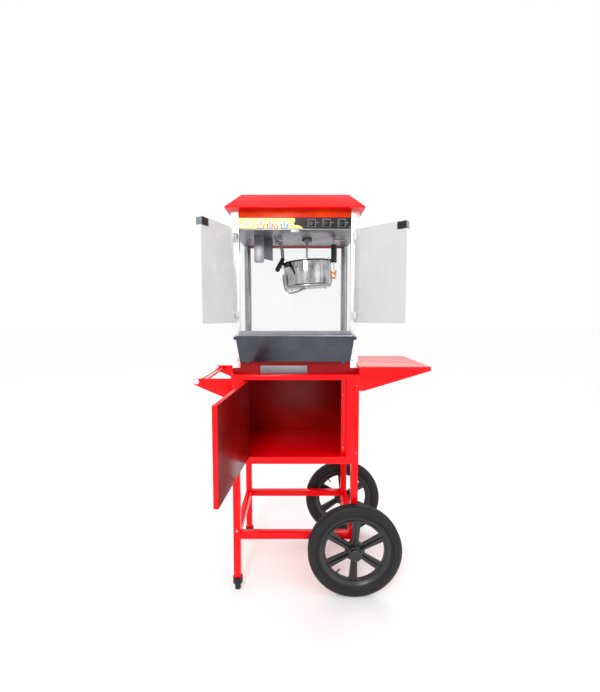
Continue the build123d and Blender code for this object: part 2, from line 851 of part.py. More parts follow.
def drive_boss():
    boss = upright(kettle_x, kettle_y, ceiling_level - boss_height, ceiling_level, boss_diameter / 2)
    boss = fillet(boss.edges().group_by(Axis.Z)[0], 3)
    return boss - upright(kettle_x, kettle_y, ceiling_level - boss_height - 1, ceiling_level + 1,
                          shaft_diameter / 2 + running_gap)


def drive_shaft():
    shaft = upright(kettle_x, kettle_y, shaft_low, ceiling_level + sheet + shaft_above_ceiling,
                    shaft_diameter / 2)
    return shaft + upright(kettle_x, kettle_y, shaft_low, shaft_low + 6, shaft_diameter / 2 + 2)


def lamp_cover():
    """Folded lamp guard: a tongue in front and a side wing that runs back."""
    top = ceiling_level
    front = block(lamp_left, lamp_left + lamp_front_width, lamp_front_y, lamp_front_y + sheet,
                  top - lamp_length, top)
    front = fillet(front.edges().filter_by(Axis.Y).group_by(Axis.Z)[0], lamp_corner_radius)
    wing_low = top - lamp_length + lamp_wing_rise
    x0 = lamp_left + lamp_front_width
    angle = math.radians(lamp_wing_angle)
    end = (x0 + lamp_depth * math.cos(angle), lamp_front_y + lamp_depth * math.sin(angle))
    side = (sheet * math.sin(angle), -sheet * math.cos(angle))
    corners = [(x0 - sheet, lamp_front_y), (x0 + side[0] - sheet, lamp_front_y), (end[0], end[1] + side[1]),
               (end[0] - side[0], end[1])]
    wing = Pos(0, 0, wing_low) * extrude(make_face(Polyline(*corners, close=True)), top - wing_low)
    return front + wing


def lamp_bulb():
    x = lamp_left + lamp_front_width / 2
    y = lamp_front_y + 30
    neck = upright(x, y, ceiling_level - bulb_drop + 18, ceiling_level, bulb_neck_radius)
    return neck + Pos(x, y, ceiling_level - bulb_drop) * Sphere(bulb_radius)


def mains_inlet():
    x = inlet_x
    z = inlet_z
    shell = block(x - 24, x + 24, cabinet_depth, cabinet_depth + 4, z - 16, z + 16)
    shell += block(x - 14, x + 14, cabinet_depth - sheet, cabinet_depth, z - 10, z + 10)
    pocket = block(x - 12, x + 12, cabinet_depth + 1, cabinet_depth + 6, z - 8, z + 8)
    for offset, rise in ((-6, -2), (0, 3), (6, -2)):
        pocket -= block(x + offset - 1, x + offset + 1, cabinet_depth, cabinet_depth + 3.5,
                        z + rise - 2.5, z + rise + 2.5)
    return shell - pocket


# ---------------------------------------------------------------- kettle, in its own rolled frame
kettle_place = Pos(kettle_x, kettle_y, kettle_rim_height) * Rot(0, kettle_roll, 0)


def hung(shape):
    """Carries a shape from the kettle's own frame to its place."""
    return kettle_place * shape


def pivot_bar(x0, x1, radius):
    """Bar on the tilt axis, in the kettle's own frame."""
    return rod((x0, pivot_back, pivot_rise), (x1, pivot_back, pivot_rise), radius)


def pot_shape():
    pot = Pos(0, 0, -kettle_height / 2) * Cylinder(kettle_radius, kettle_height)
    pot = fillet(pot.edges().group_by(Axis.Z)[0], 8)
    inner_height = kettle_height - kettle_floor
    inner = Pos(0, 0, -inner_height / 2 + 1) * Cylinder(kettle_radius - kettle_wall, inner_height + 2)
    inner = fillet(inner.edges().group_by(Axis.Z)[0], 7)
    return pot - inner


def kettle_pot():
    pot = pot_shape()
    for side in (-1, 1):
        x0, x1 = sorted((side * lug_inner, side * lug_outer))
        pot += block(x0, x1, pivot_back - lug_half, pivot_back + lug_half, -lug_drop, pivot_rise + lug_rise)
        x0, x1 = sorted((side * lug_inner, side * kettle_radius))
        foot = block(x0, x1, pivot_back - lug_half, pivot_back + lug_half, -lug_drop, -3)
        pot += foot & (Pos(0, 0, -8) * Cylinder(kettle_radius, 20))
        reach_x = (hanger_right_x - kettle_x + 3) if side > 0 else (hanger_left_x - kettle_x - 3)
        pot += pivot_bar(side * (lug_outer - 2), reach_x, pivot_diameter / 2)
    return hung(pot)


def kettle_base():
    base = Pos(0, 0, base_low + base_height / 2) * Cylinder(kettle_radius - 5, base_height)
    base = fillet(base.edges().group_by(Axis.Z)[0], 4)
    base -= Pos(0, 0, base_low + base_height / 2 + 2) * Cylinder(kettle_radius - 8, base_height)
    for angle in base_screw_angles:
        base += Rot(0, 0, angle) * Pos(kettle_radius - 16, 0, base_low - 2) * Cylinder(base_screw_radius, 4)
    return hung(base)


def lid_pin(side):
    """Hinge wire of one half lid with its two end blocks; side is -1 in front and 1 behind."""
    y = side * lid_hinge_y
    wire = rod((-lid_pin_reach, y, lid_hinge_rise), (lid_pin_reach, y, lid_hinge_rise), lid_pin_radius)
    y0, y1 = sorted((side * (bridge_half - 1), side * (lid_hinge_y + 2.3)))
    for x in (-lid_pin_reach, lid_pin_reach):
        wire += block(x - 2.5, x + 2.5, y0, y1, 0.4, lid_hinge_rise + 2.5)
    return wire


def kettle_rim():
    """Dark rolled rim with the bridge bar and hinge wires that carry both half lids."""
    rim = Cylinder(kettle_radius + rim_roll, 2 * rim_roll) - Cylinder(kettle_radius, 3 * rim_roll)
    rim += block(-kettle_radius - 0.5, kettle_radius + 0.5, -bridge_half, bridge_half,
                 0.1, rim_roll)
    rim += lid_pin(-1) + lid_pin(1)
    for side in (-1, 1):
        x0, x1 = sorted((side * (lug_inner - body_gap), side * (lug_outer + body_gap)))
        rim -= block(x0, x1, pivot_back - lug_half - body_gap, pivot_back + lug_half, -5, 6)
    return hung(rim - Cylinder(7, 12))


def lid(side):
    disc = Pos(0, 0, 1.2) * Cylinder(lid_radius, 1.2)
    y0, y1 = sorted((side * (lid_hinge_y + 3), side * (lid_radius + 5)))
    half = disc & block(-lid_radius - 1, lid_radius + 1, y0, y1, -5, 8)
    for x in (-lid_barrel_x, lid_barrel_x):
        x0, x1 = x - lid_barrel_half, x + lid_barrel_half
        half += rod((x0, side * lid_hinge_y, lid_hinge_rise), (x1, side * lid_hinge_y, lid_hinge_rise),
                    2 * lid_pin_radius)
        b0, b1 = sorted((side * lid_hinge_y, side * (lid_hinge_y + 9)))
        half += block(x0, x1, b0, b1, 1.2, 2.4)
    half -= rod((-40, side * lid_hinge_y, lid_hinge_rise), (40, side * lid_hinge_y, lid_hinge_rise),
                lid_pin_radius + running_gap)
    k0, k1 = sorted((side * lid_tab_y, side * (lid_tab_y + 12)))
    half += block(-lid_tab_half, lid_tab_half, k0, k1, 1.5, 2.6)
    k0, k1 = sorted((side * (lid_tab_y + 11), side * (lid_tab_y + 12.5)))
    half += block(-lid_tab_half, lid_tab_half, k0, k1, 1.5, lid_tab_rise)
    return hung(half)


def agitator():
    rod_top = pivot_rise + 1.0
    low = -kettle_height + kettle_floor + 3
    spin = Pos(0, 0, (rod_top + low) / 2) * Cylinder(4, rod_top - low)
    spin += Pos(0, 0, low + 8) * Cylinder(9, 16)
    reach = kettle_radius - 16
    for turn in (0, 90):
        spin += Rot(0, 0, turn) * (Pos(0, 0, low + 4) * Box(2 * reach, 4, 8))
    return hung(spin)


def dump_handle():
    start = Vector(*dump_handle_start)
    end = Vector(*dump_handle_end)
    grip = rod(dump_handle_start, dump_handle_end, dump_handle_diameter / 2)
    middle = start + (end - start) * 0.45
    angle = math.radians(dump_arm_angle)
    root = ((kettle_radius + 2) * math.cos(angle), (kettle_radius + 2) * math.sin(angle), -8)
    arm = rod(root, (middle.X, middle.Y, middle.Z), 5)
    foot = Plane(origin=root, z_dir=(math.cos(angle), math.sin(angle), 0)) * Box(26, 22, 4)
    clear = Pos(0, 0, -40) * Cylinder(kettle_radius, 90) + Cylinder(kettle_radius + rim_roll, 2 * rim_roll)
    return hung((grip + arm + foot) - clear)


def heater_conduit():
    points = [(-22, -14, base_low - 4), (-48, -24, base_low - 14), (-82, -34, base_low - 20),
              (-103, -44, base_low - 2), (-107, -44, base_low + 30), (-106, -46, base_low + 62)]
    path = FilletPolyline(*points, radius=12)
    tube = sweep(Plane(origin=path @ 0, z_dir=path % 0) * Circle(4), path)
    gland = Pos(-22, -14, base_low - 5) * Cylinder(8, 10)
    return hung(tube + gland)


# ---------------------------------------------------------------- kettle hangers
def hanger_strap(x, low):
    """Flat hanger from the ceiling, with the running bore of the kettle's pivot."""
    y = kettle_y + pivot_back
    half = hanger_width / 2
    strap = block(x - hanger_thickness / 2, x + hanger_thickness / 2, y - half, y + half, low, ceiling_level)
    return strap - hung(pivot_bar(-200, 200, pivot_diameter / 2 + running_gap))


def hanger_left():
    strap = hanger_strap(hanger_left_x, kettle_rim_height - strap_below_pivot)
    y = kettle_y + pivot_back
    foot = block(hanger_left_x - 34, hanger_left_x, y - hanger_foot_half, y + hanger_foot_half,
                 ceiling_level - hanger_foot_sheet, ceiling_level)
    return strap + foot


def hanger_right():
    low = kettle_rim_height - shoe_drop
    strap = hanger_strap(hanger_right_x, kettle_rim_height - shoe_top_drop - 1)
    y = kettle_y + pivot_back
    foot = block(hanger_right_x, hanger_right_x + 48, y - hanger_foot_half, y + hanger_foot_half,
                 ceiling_level - hanger_foot_sheet, ceiling_level)
    shoe = block(shoe_left_x, shoe_left_x + shoe_width, y - 17, y + 5, low,
                 kettle_rim_height - shoe_top_drop)
    shoe = fillet(shoe.edges().filter_by(Axis.Y).group_by(Axis.Z)[0], 8)
    slot = Pos(shoe_left_x + shoe_width / 2, y - 17, low + 20) * Rot(0, shoe_slot_angle, 0) * Box(26, 12, 5)
    return strap + foot + (shoe - slot)


def hanger_grip():
    y = kettle_y + pivot_back
    top = kettle_rim_height + 83
    half = hanger_width / 2 + 0.02
    grip = upright(hanger_right_x + 1, y, top - grip_length, top, grip_diameter / 2)
    grip = fillet(grip.edges(), 5)
    grip -= block(hanger_right_x - hanger_thickness / 2, hanger_right_x + hanger_thickness / 2,
                  y - half, y + half, top - grip_length - 1, top + 1)
    return grip - hung(pivot_bar(-200, 200, pivot_diameter / 2 + 2))


def heater_hose():
    """Armoured lead from the ceiling bracket down to the left pivot."""
    y = kettle_y - 4
    top = ceiling_level - 12
    low = kettle_rim_height + 22
    points = [(hanger_left_x - 30, y, top), (hanger_left_x - 4, y, top - 2), (hanger_left_x + 1, y, low + 36),
              (hanger_left_x + 4, y, low)]
    path = FilletPolyline(*points, radius=16)
    tube = sweep(Plane(origin=path @ 0, z_dir=path % 0) * Circle(hose_radius), path)
    bracket = block(hanger_left_x - 34, hanger_left_x - 26, y - 9, y + 8, top - 9, ceiling_level)
    return tube + bracket


# ---------------------------------------------------------------- whole object
def build_parts():
    """Every piece by name, in the working frame."""
    parts = {
        "cart_sides": cart_sides(),
        "cart_back": cart_back(),
        "cart_floor": cart_floor(),
        "cart_top_panel": cart_top_panel(),
        "cart_front_frame": cart_front_frame(),
        "leg_frames": leg_frames(),
        "cross_rails": cross_rails(),
        "levelling_feet": levelling_feet(),
        "wheel_axle": wheel_axle(),
        "handle_brackets": handle_brackets(),
        "push_handle": push_handle(),
        "handle_tie_rod": handle_tie_rod(),
        "side_shelf": side_shelf(),
        "frame_bolts": frame_bolts(),
        "cart_hinge_leaves": cart_hinge_leaves(),
        "cart_door": cart_door(),
        "cart_door_knuckles": cart_door_knuckles(),
        "wheel_rim_front": wheel_rim(wheel_front_y, -1),
        "wheel_tyre_front": wheel_tyre(wheel_front_y),
        "wheel_rim_rear": wheel_rim(wheel_rear_y, 1),
        "wheel_tyre_rear": wheel_tyre(wheel_rear_y),
        "plinth": plinth(),
        "kernel_drawer": kernel_drawer(),
        "deck_plate": deck_plate(),
        "front_tray": front_tray(),
        "front_posts": front_posts(),
        "rear_tubes": rear_tubes(),
        "glass_panes": glass_panes(),
        "ceiling_pan": ceiling_pan(),
        "top_housing": top_housing(),
        "control_panel": control_panel(),
        "switch_bezels": switch_bezels(),
        "roof_canopy": roof_canopy(),
        "post_hinges": post_hinges(),
        "magnetic_catches": magnetic_catches(),
        "gear_motor": gear_motor(),
        "drive_boss": drive_boss(),
        "drive_shaft": drive_shaft(),
        "lamp_cover": lamp_cover(),
        "lamp_bulb": lamp_bulb(),
        "mains_inlet": mains_inlet(),
        "kettle_pot": kettle_pot(),
        "kettle_base": kettle_base(),
        "kettle_rim": kettle_rim(),
        "lid_front": lid(-1),
        "lid_rear": lid(1),
        "agitator": agitator(),
        "dump_handle": dump_handle(),
        "heater_conduit": heater_conduit(),
        "hanger_left": hanger_left(),
        "hanger_right": hanger_right(),
        "hanger_grip": hanger_grip(),
        "heater_hose": heater_hose(),
    }
    for name, x in zip(("rocker_heat", "rocker_stir", "rocker_lamp"), switch_centres):
        parts[name] = rocker(x)
    for name, side in (("left", -1), ("right", 1)):
        parts["door_glass_" + name] = door_glass(side)
        parts["door_fittings_" + name] = door_fittings(side)
    return parts


def middle_of(parts):
    """Centre of the floor area that the whole object covers."""
    boxes = [shape.bounding_box() for shape in parts.values()]
    x = (min(b.min.X for b in boxes) + max(b.max.X for b in boxes)) / 2
    y = (min(b.min.Y for b in boxes) + max(b.max.Y for b in boxes)) / 2
    return x, y


parts = build_parts()
origin_x, origin_y = middle_of(parts)
os.makedirs("parts", exist_ok=True)
for name, shape in parts.items():
    export_step(Pos(-origin_x, -origin_y, 0) * shape, f"parts/{name}.step")
print(f"{len(parts)} pieces, origin at x {origin_x:.3f}, y {origin_y:.3f}")
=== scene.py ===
"""Looks of the popcorn maker: finishes for its CAD pieces and finer pieces built around them."""

from collections.abc import Callable
import json
import logging
import math
from dataclasses import dataclass, field
from enum import Enum

import bmesh
import bpy
from mathutils import Matrix, Vector


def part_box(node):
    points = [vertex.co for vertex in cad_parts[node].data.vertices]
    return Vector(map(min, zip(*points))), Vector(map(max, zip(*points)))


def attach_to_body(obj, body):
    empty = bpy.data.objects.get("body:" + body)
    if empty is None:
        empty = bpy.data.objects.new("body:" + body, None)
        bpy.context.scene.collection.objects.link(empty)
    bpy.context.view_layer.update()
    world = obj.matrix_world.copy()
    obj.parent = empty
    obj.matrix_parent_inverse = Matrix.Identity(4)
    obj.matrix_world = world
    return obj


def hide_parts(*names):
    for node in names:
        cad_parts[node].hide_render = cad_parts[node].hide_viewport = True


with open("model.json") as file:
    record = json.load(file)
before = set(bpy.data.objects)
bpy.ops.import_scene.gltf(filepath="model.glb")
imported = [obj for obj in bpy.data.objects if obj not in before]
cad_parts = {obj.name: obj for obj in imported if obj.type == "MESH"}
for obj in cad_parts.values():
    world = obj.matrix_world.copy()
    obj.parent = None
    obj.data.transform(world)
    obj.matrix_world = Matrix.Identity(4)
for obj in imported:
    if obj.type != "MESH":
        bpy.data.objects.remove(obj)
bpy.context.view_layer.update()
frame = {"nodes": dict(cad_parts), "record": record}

LOG = logging.getLogger("popcorn_maker")
MM = 0.001
Point = tuple[float, float, float]
Flat = tuple[float, float]


# ------------------------------------------------------------------ colour and node helpers
def linear(hex_colour: str) -> tuple[float, float, float, float]:
    """Turns an sRGB hex colour into linear light.

    Args:
        hex_colour: six hex digits with a leading hash.

    Returns:
        Red, green, blue and an alpha of one.
    """
    channels = []
    for start in (1, 3, 5):
        value = int(hex_colour[start:start + 2], 16) / 255
        channels.append(value / 12.92 if value <= 0.04045 else ((value + 0.055) / 1.055) ** 2.4)
    return channels[0], channels[1], channels[2], 1.0


def add_node(tree: bpy.types.NodeTree, kind: str, inputs: dict | None = None,
             **settings: object) -> bpy.types.Node:
    """Adds a node, sets its properties, and fills or links its inputs.

    Args:
        tree: the node tree.
        kind: the node's type name.
        inputs: socket name or number to a value, or to an output socket to link from.
        **settings: the node's own properties.

    Returns:
        The new node.
    """
    node = tree.nodes.new(kind)
    for name, value in settings.items():
        setattr(node, name, value)
    for key, value in (inputs or {}).items():
        if isinstance(value, bpy.types.NodeSocket):
            tree.links.new(value, node.inputs[key])
        else:
            node.inputs[key].default_value = value
    return node


def ramp(tree: bpy.types.NodeTree, source: bpy.types.NodeSocket, low: str, high: str,
         start: float = 0.3, end: float = 0.7) -> bpy.types.NodeSocket:
    """Maps a pattern to a blend of two colours.

    Args:
        tree: the node tree.
        source: the pattern's value.
        low: colour at and below start.
        high: colour at and above end.
        start: pattern value where the blend begins.
        end: pattern value where it ends.

    Returns:
        The colour output.
    """
    node = add_node(tree, "ShaderNodeValToRGB", {0: source})
    node.color_ramp.elements[0].position = start
    node.color_ramp.elements[1].position = end
    node.color_ramp.elements[0].color = linear(low)
    node.color_ramp.elements[1].color = linear(high)
    return node.outputs[0]


def spread(tree: bpy.types.NodeTree, source: bpy.types.NodeSocket, low: float,
           high: float) -> bpy.types.NodeSocket:
    """Maps a pattern running from nought to one to a range of numbers.

    Args:
        tree: the node tree.
        source: the pattern's value.
        low: result at nought.
        high: result at one.

    Returns:
        The mapped value.
    """
    node = add_node(tree, "ShaderNodeMapRange", {0: source, 3: low, 4: high})
    return node.outputs[0]


# ------------------------------------------------------------------ finishes
@dataclass(frozen=True)
class Finish:
    """A material built from nodes.

    Attributes:
        name: material name.
        light: brighter sRGB colour.
        dark: darker sRGB colour.
        rough_low: roughness on the smoothest spots.
        rough_high: roughness on the dullest spots.
        grain_mm: size of the surface pattern in millimetres.
        stretch: how much the pattern is drawn out along X, Y and Z.
        bump: height of the relief as a share of the grain.
        metallic: one for bare metal.
        coat: strength of a clear top coat.
        alpha: opacity.
        wear_mm: size of the broad patches of colour change.
        specular: strength of the bare surface's reflection.
    """

    name: str
    light: str
    dark: str
    rough_low: float
    rough_high: float
    grain_mm: float
    stretch: Point = (1.0, 1.0, 1.0)
    bump: float = 0.1
    metallic: float = 0.0
    coat: float = 0.0
    alpha: float = 1.0
    wear_mm: float = 60.0
    specular: float = 0.5

    def build(self) -> bpy.types.Material:
        """Makes the material once and returns it.

        Returns:
            The material.
        """
        known = bpy.data.materials.get(self.name)
        if known:
            return known
        material = bpy.data.materials.new(self.name)
        material.use_nodes = True
        tree = material.node_tree
        shader = tree.nodes["Principled BSDF"]
        place = add_node(tree, "ShaderNodeTexCoord").outputs["Object"]
        scale = tuple(1.0 / stretch for stretch in self.stretch)
        grain_place = add_node(tree, "ShaderNodeMapping", {0: place, 3: scale}).outputs[0]
        grain = add_node(tree, "ShaderNodeTexNoise", {
            "Vector": grain_place, "Scale": 1.0 / (self.grain_mm * MM), "Detail": 4.0,
            "Roughness": 0.6}).outputs[0]
        wear = add_node(tree, "ShaderNodeTexNoise", {
            "Vector": place, "Scale": 1.0 / (self.wear_mm * MM), "Detail": 3.0}).outputs[0]
        both = add_node(tree, "ShaderNodeMix", {0: 0.5, 2: grain, 3: wear}).outputs[0]
        tree.links.new(ramp(tree, both, self.dark, self.light), shader.inputs["Base Color"])
        tree.links.new(spread(tree, both, self.rough_low, self.rough_high), shader.inputs["Roughness"])
        relief = add_node(tree, "ShaderNodeBump", {
            "Height": grain, "Strength": 0.6, "Distance": self.bump * self.grain_mm * MM})
        tree.links.new(relief.outputs[0], shader.inputs["Normal"])
        shader.inputs["Metallic"].default_value = self.metallic
        shader.inputs["Specular IOR Level"].default_value = self.specular
        shader.inputs["Coat Weight"].default_value = self.coat
        shader.inputs["Coat Roughness"].default_value = 0.08
        shader.inputs["Alpha"].default_value = self.alpha
        return material


# Polyester powder coat on sheet steel: deep gloss with a faint orange-peel ripple about 2 mm across.
RED_COAT = Finish("red_powder_coat", "#F0040F", "#DE020B", 0.16, 0.26, 2.2, bump=0.012, wear_mm=90,
                  specular=0.22)
# The same coat with the shade inside the cupboard painted in: it stands for light, not for a second coat.
RED_INSIDE = Finish("red_powder_coat_inside", "#B80D09", "#8A0705", 0.3, 0.42, 2.2, bump=0.02,
                    wear_mm=70, specular=0.3)
# The same coat with the warm bounce light under the eave painted in.
RED_WARM = Finish("red_powder_coat_under_eave", "#E8480E", "#B00804", 0.2, 0.3, 2.2, bump=0.012,
                  wear_mm=75, specular=0.22)
# The same coat with the shade on the cupboard door's inner face painted in.
RED_SHADE = Finish("red_powder_coat_shade", "#7E0705", "#5E0403", 0.22, 0.34, 2.2, bump=0.012,
                   wear_mm=120, specular=0.35)
# The same coat with the tray's shade on the plinth painted in.
RED_DEEP = Finish("red_powder_coat_deep", "#9C0207", "#860105", 0.2, 0.3, 2.2, bump=0.012, wear_mm=90,
                  specular=0.22)
# Brushed 304 stainless sheet: fine lines drawn along X, drawn 0.9 mm wide so that they show.
BRUSHED_STEEL = Finish("brushed_stainless_sheet", "#B4B4B7", "#96969A", 0.24, 0.38, 0.9, (40, 1, 1),
                       0.03, 1.0)
# Coarser brushed sheet, duller than the rest, painted a darker grey for the shade and dark reflections of the
# kernel drawer and lamp cover.
GREY_STEEL = Finish("stainless_sheet_painted_shade", "#8E8E91", "#7A7A7E", 0.34, 0.46, 1.2, (30, 1, 1),
                    0.03, 0.8)
# Brushed stainless post: lines run up the post, and its near-white colour is a painted reflection of the
# bright room.
POST_STEEL = Finish("brushed_stainless_post", "#F6F6F7", "#E4E4E6", 0.26, 0.36, 0.9, (1, 1, 60), 0.02, 0.85)
# The same sheet overhead in the cabinet, where it lies in its own shade.
CEILING_STEEL = Finish("brushed_stainless_ceiling", "#A0A0A4", "#7C7C81", 0.32, 0.44, 0.9, (1, 40, 1),
                       0.02, 0.9)
# Drawn stainless tube with a soft sheen.
TUBE_STEEL = Finish("drawn_stainless_tube", "#A9A9AD", "#88888D", 0.18, 0.28, 0.8, (1, 1, 50), 0.02, 1.0)
# Mirror-polished 304 pot with vertical polishing streaks; their dark bands are painted reflections of the
# surroundings.
POLISHED_STEEL = Finish("polished_stainless_pot", "#EEEEF0", "#26262A", 0.05, 0.16, 15.0, (1, 1, 60),
                        0.001, 1.0)
# Polished stainless sheet, toned down to a deep grey as if it mirrored a dark room.
TRAY_STEEL = Finish("polished_stainless_tray", "#55585E", "#404349", 0.2, 0.3, 1.2, (60, 1, 1), 0.01, 1.0)
# Bright zinc plating with a faint crystal grain.
ZINC = Finish("bright_zinc_plate", "#DCDCDE", "#B4B4B8", 0.2, 0.34, 1.4, bump=0.03, metallic=1.0)
# Moulded phenolic and nylon: near black with a fine spark-eroded grain.
BLACK_PLASTIC = Finish("moulded_black_nylon", "#151516", "#0C0C0D", 0.3, 0.42, 0.7, bump=0.05, specular=0.4)
# Injection-moulded polypropylene of the wheel discs.
WHEEL_PLASTIC = Finish("moulded_wheel_polypropylene", "#1B1C1E", "#111214", 0.26, 0.4, 0.9, bump=0.04,
                       wear_mm=40,
                       specular=0.6)
# Solid rubber tyre: darker and duller, with a dusty bloom.
TYRE_RUBBER = Finish("solid_rubber_tyre", "#1F2022", "#151517", 0.42, 0.6, 0.8, bump=0.1, wear_mm=35,
                     specular=0.3)
# Clear cast acrylic door leaf, seen as a faint grey sheet.
DOOR_ACRYLIC = Finish("clear_cast_acrylic", "#C6C7CA", "#B4B5B8", 0.05, 0.06, 180.0, bump=0.0, alpha=0.42,
                      wear_mm=260)
# Toughened glass of the fixed panes, nearly invisible.
PANE_GLASS = Finish("toughened_glass", "#DCE2E4", "#D2D8DC", 0.03, 0.05, 30.0, bump=0.001, alpha=0.07)
# Cast motor housing in dark satin lacquer.
DARK_CASTING = Finish("lacquered_zinc_casting", "#77777B", "#5C5C61", 0.3, 0.45, 1.5, bump=0.06, metallic=0.3)
# Frosted bulb glass.
BULB_GLASS = Finish("frosted_bulb_glass", "#FBF6EA", "#F2ECDC", 0.4, 0.5, 1.0, bump=0.02, alpha=0.85)
# Screen-printed polyester overlay, satin black.
PANEL_BLACK = Finish("printed_overlay_black", "#1C1B1D", "#131214", 0.28, 0.36, 0.6, bump=0.02, specular=0.3)
# Annealed copper shoe, warm and slightly oxidised.
COPPER = Finish("annealed_copper", "#E0A184", "#C07F62", 0.22, 0.36, 1.2, bump=0.04, metallic=1.0)

# Screen inks of the printed overlay, with the faint mottle of a coarse mesh, in slot order.
PRINT_INKS = [Finish("overlay_ink_" + name, light, dark, 0.3, 0.4, 1.2, bump=0.01) for name, light, dark in (
    ("yellow", "#FAE98E", "#F4DE74"), ("white", "#FCFAF2", "#F0ECE0"), ("pink", "#E83E8C", "#D62F7B"),
    ("orange", "#F59A23", "#E5871A"), ("cyan", "#27A8DF", "#1C97CF"), ("green", "#57B04A", "#4A9F3F"),
    ("red", "#D8262C", "#C41C22"))] + [
        PANEL_BLACK, Finish("overlay_ink_grey", "#A6A6AA", "#8E8E92", 0.3, 0.4, 1.2, bump=0.01)]
# Matt white studio floor with a barely visible unevenness.
STUDIO_FLOOR = Finish("matt_studio_floor", "#FEFEFE", "#FCFCFC", 0.8, 0.9, 40.0, bump=0.001, wear_mm=900)


class Slot(Enum):
    """Record slots, each with the finish that its nodes show."""

    RED = "red_paint"
    STAINLESS = "stainless"
    POST = "satin_white_steel"
    POLISHED = "polished_steel"
    TRAY = "dark_polished_steel"
    PLATED = "zinc"
    BLACK = "black_plastic"
    PANEL = "panel_black"
    WHEEL = "wheel_plastic"
    TYRE = "tyre_rubber"
    CLEAR = "clear_panel"
    CASTING = "dark_casting"
    BULB = "bulb_glass"


SLOT_FINISHES: dict[Slot, Finish] = {
    Slot.RED: RED_COAT, Slot.STAINLESS: BRUSHED_STEEL, Slot.POST: POST_STEEL, Slot.POLISHED: POLISHED_STEEL,
    Slot.TRAY: TRAY_STEEL, Slot.PLATED: ZINC, Slot.BLACK: BLACK_PLASTIC, Slot.PANEL: PANEL_BLACK,
    Slot.WHEEL: WHEEL_PLASTIC, Slot.TYRE: TYRE_RUBBER, Slot.CLEAR: DOOR_ACRYLIC, Slot.CASTING: DARK_CASTING,
    Slot.BULB: BULB_GLASS,
}

# Slot of each CAD node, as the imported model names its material.
NODE_SLOTS: dict[str, Slot] = {
    name: Slot(node.data.materials[0].name.split(".")[0]) for name, node in frame["nodes"].items()
}

NODE_FINISHES: dict[str, Finish] = {
    "glass_panes": PANE_GLASS,
    "rear_tubes": TUBE_STEEL,
    "push_handle": POST_STEEL,
    "ceiling_pan": CEILING_STEEL,
    "kernel_drawer": GREY_STEEL,
    "lamp_cover": GREY_STEEL,
    "post_hinges": POST_STEEL,
}


# ------------------------------------------------------------------ mesh helpers
def dress(node: bpy.types.Object, finish: Finish) -> None:
    """Gives a CAD node its finish without touching its shape."""
    for index in range(len(node.material_slots)):
        node.material_slots[index].material = finish.build()
    if not node.material_slots:
        node.data.materials.append(finish.build())


def middle(node: str) -> Vector:
    """Centre of a CAD node's box."""
    low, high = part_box(node)
    return (Vector(low) + Vector(high)) / 2


def link_mesh(name: str, mesh: bmesh.types.BMesh, finishes: list[Finish]) -> bpy.types.Object:
    """Puts a bmesh into the scene with its finishes, and frees it."""
    data = bpy.data.meshes.new(name)
    mesh.to_mesh(data)
    mesh.free()
    for finish in finishes:
        data.materials.append(finish.build())
    piece = bpy.data.objects.new(name, data)
    bpy.context.scene.collection.objects.link(piece)
    return piece


def make_piece(name: str, mesh: bmesh.types.BMesh, finishes: list[Finish],
               smooth: bool = True) -> bpy.types.Object:
    """Turns a bmesh into a scene object with outward faces.

    Args:
        name: piece name.
        mesh: the geometry, freed here.
        finishes: finishes in slot order.
        smooth: whether faces are shaded smooth.

    Returns:
        The object.
    """
    bmesh.ops.remove_doubles(mesh, verts=mesh.verts, dist=1e-6)
    bmesh.ops.recalc_face_normals(mesh, faces=mesh.faces)
    for face in mesh.faces:
        face.smooth = smooth
    return link_mesh(name, mesh, finishes)


def bake(piece: bpy.types.Object) -> None:
    """Applies every modifier to the piece's mesh."""
    graph = bpy.context.evaluated_depsgraph_get()
    graph.update()
    data = bpy.data.meshes.new_from_object(piece.evaluated_get(graph), depsgraph=graph)
    piece.modifiers.clear()
    piece.data = data


def attach(piece: bpy.types.Object, tree: bpy.types.NodeTree, sizes: dict[str, float]) -> None:
    """Adds a node tree to a piece and sets its sizes by their sockets' identifiers.

    Args:
        piece: object that gets the tree.
        tree: the node tree.
        sizes: value of each named input.
    """
    modifier = piece.modifiers.new(tree.name, "NODES")
    modifier.node_group = tree
    for item in tree.interface.items_tree:
        if item.name in sizes and item.in_out == "INPUT":
            modifier[item.identifier] = sizes[item.name]


def soften(piece: bpy.types.Object, width_mm: float) -> None:
    """Rounds the sharp edges of a piece and shades it by angle.

    Args:
        piece: the object.
        width_mm: edge radius.
    """
    bevel = piece.modifiers.new("bevel", "BEVEL")
    bevel.width = width_mm * MM
    bevel.segments = 2
    bevel.limit_method = "ANGLE"
    bevel.angle_limit = math.radians(32)
    bake(piece)
    shade_by_angle(piece)


def shade_by_angle(piece: bpy.types.Object, degrees: float = 35.0) -> None:
    """Smooths faces, and marks edges sharper than an angle as sharp."""
    mesh = bmesh.new()
    mesh.from_mesh(piece.data)
    for face in mesh.faces:
        face.smooth = True
    for edge in mesh.edges:
        edge.smooth = len(edge.link_faces) == 2 and edge.calc_face_angle(math.pi) < math.radians(degrees)
    mesh.to_mesh(piece.data)
    mesh.free()


def settle(piece: bpy.types.Object, body: str, slot: Slot, *nodes: str) -> None:
    """Lets a finished piece ride on its body and hides the CAD nodes that it stands for.

    Args:
        piece: the object.
        body: CAD body that carries it.
        slot: not used.
        *nodes: CAD nodes that it stands for.
    """
    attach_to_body(piece, body)
    if nodes:
        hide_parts(*nodes)
    LOG.info("%s rides on %s with %d faces", piece.name, body, len(piece.data.polygons))


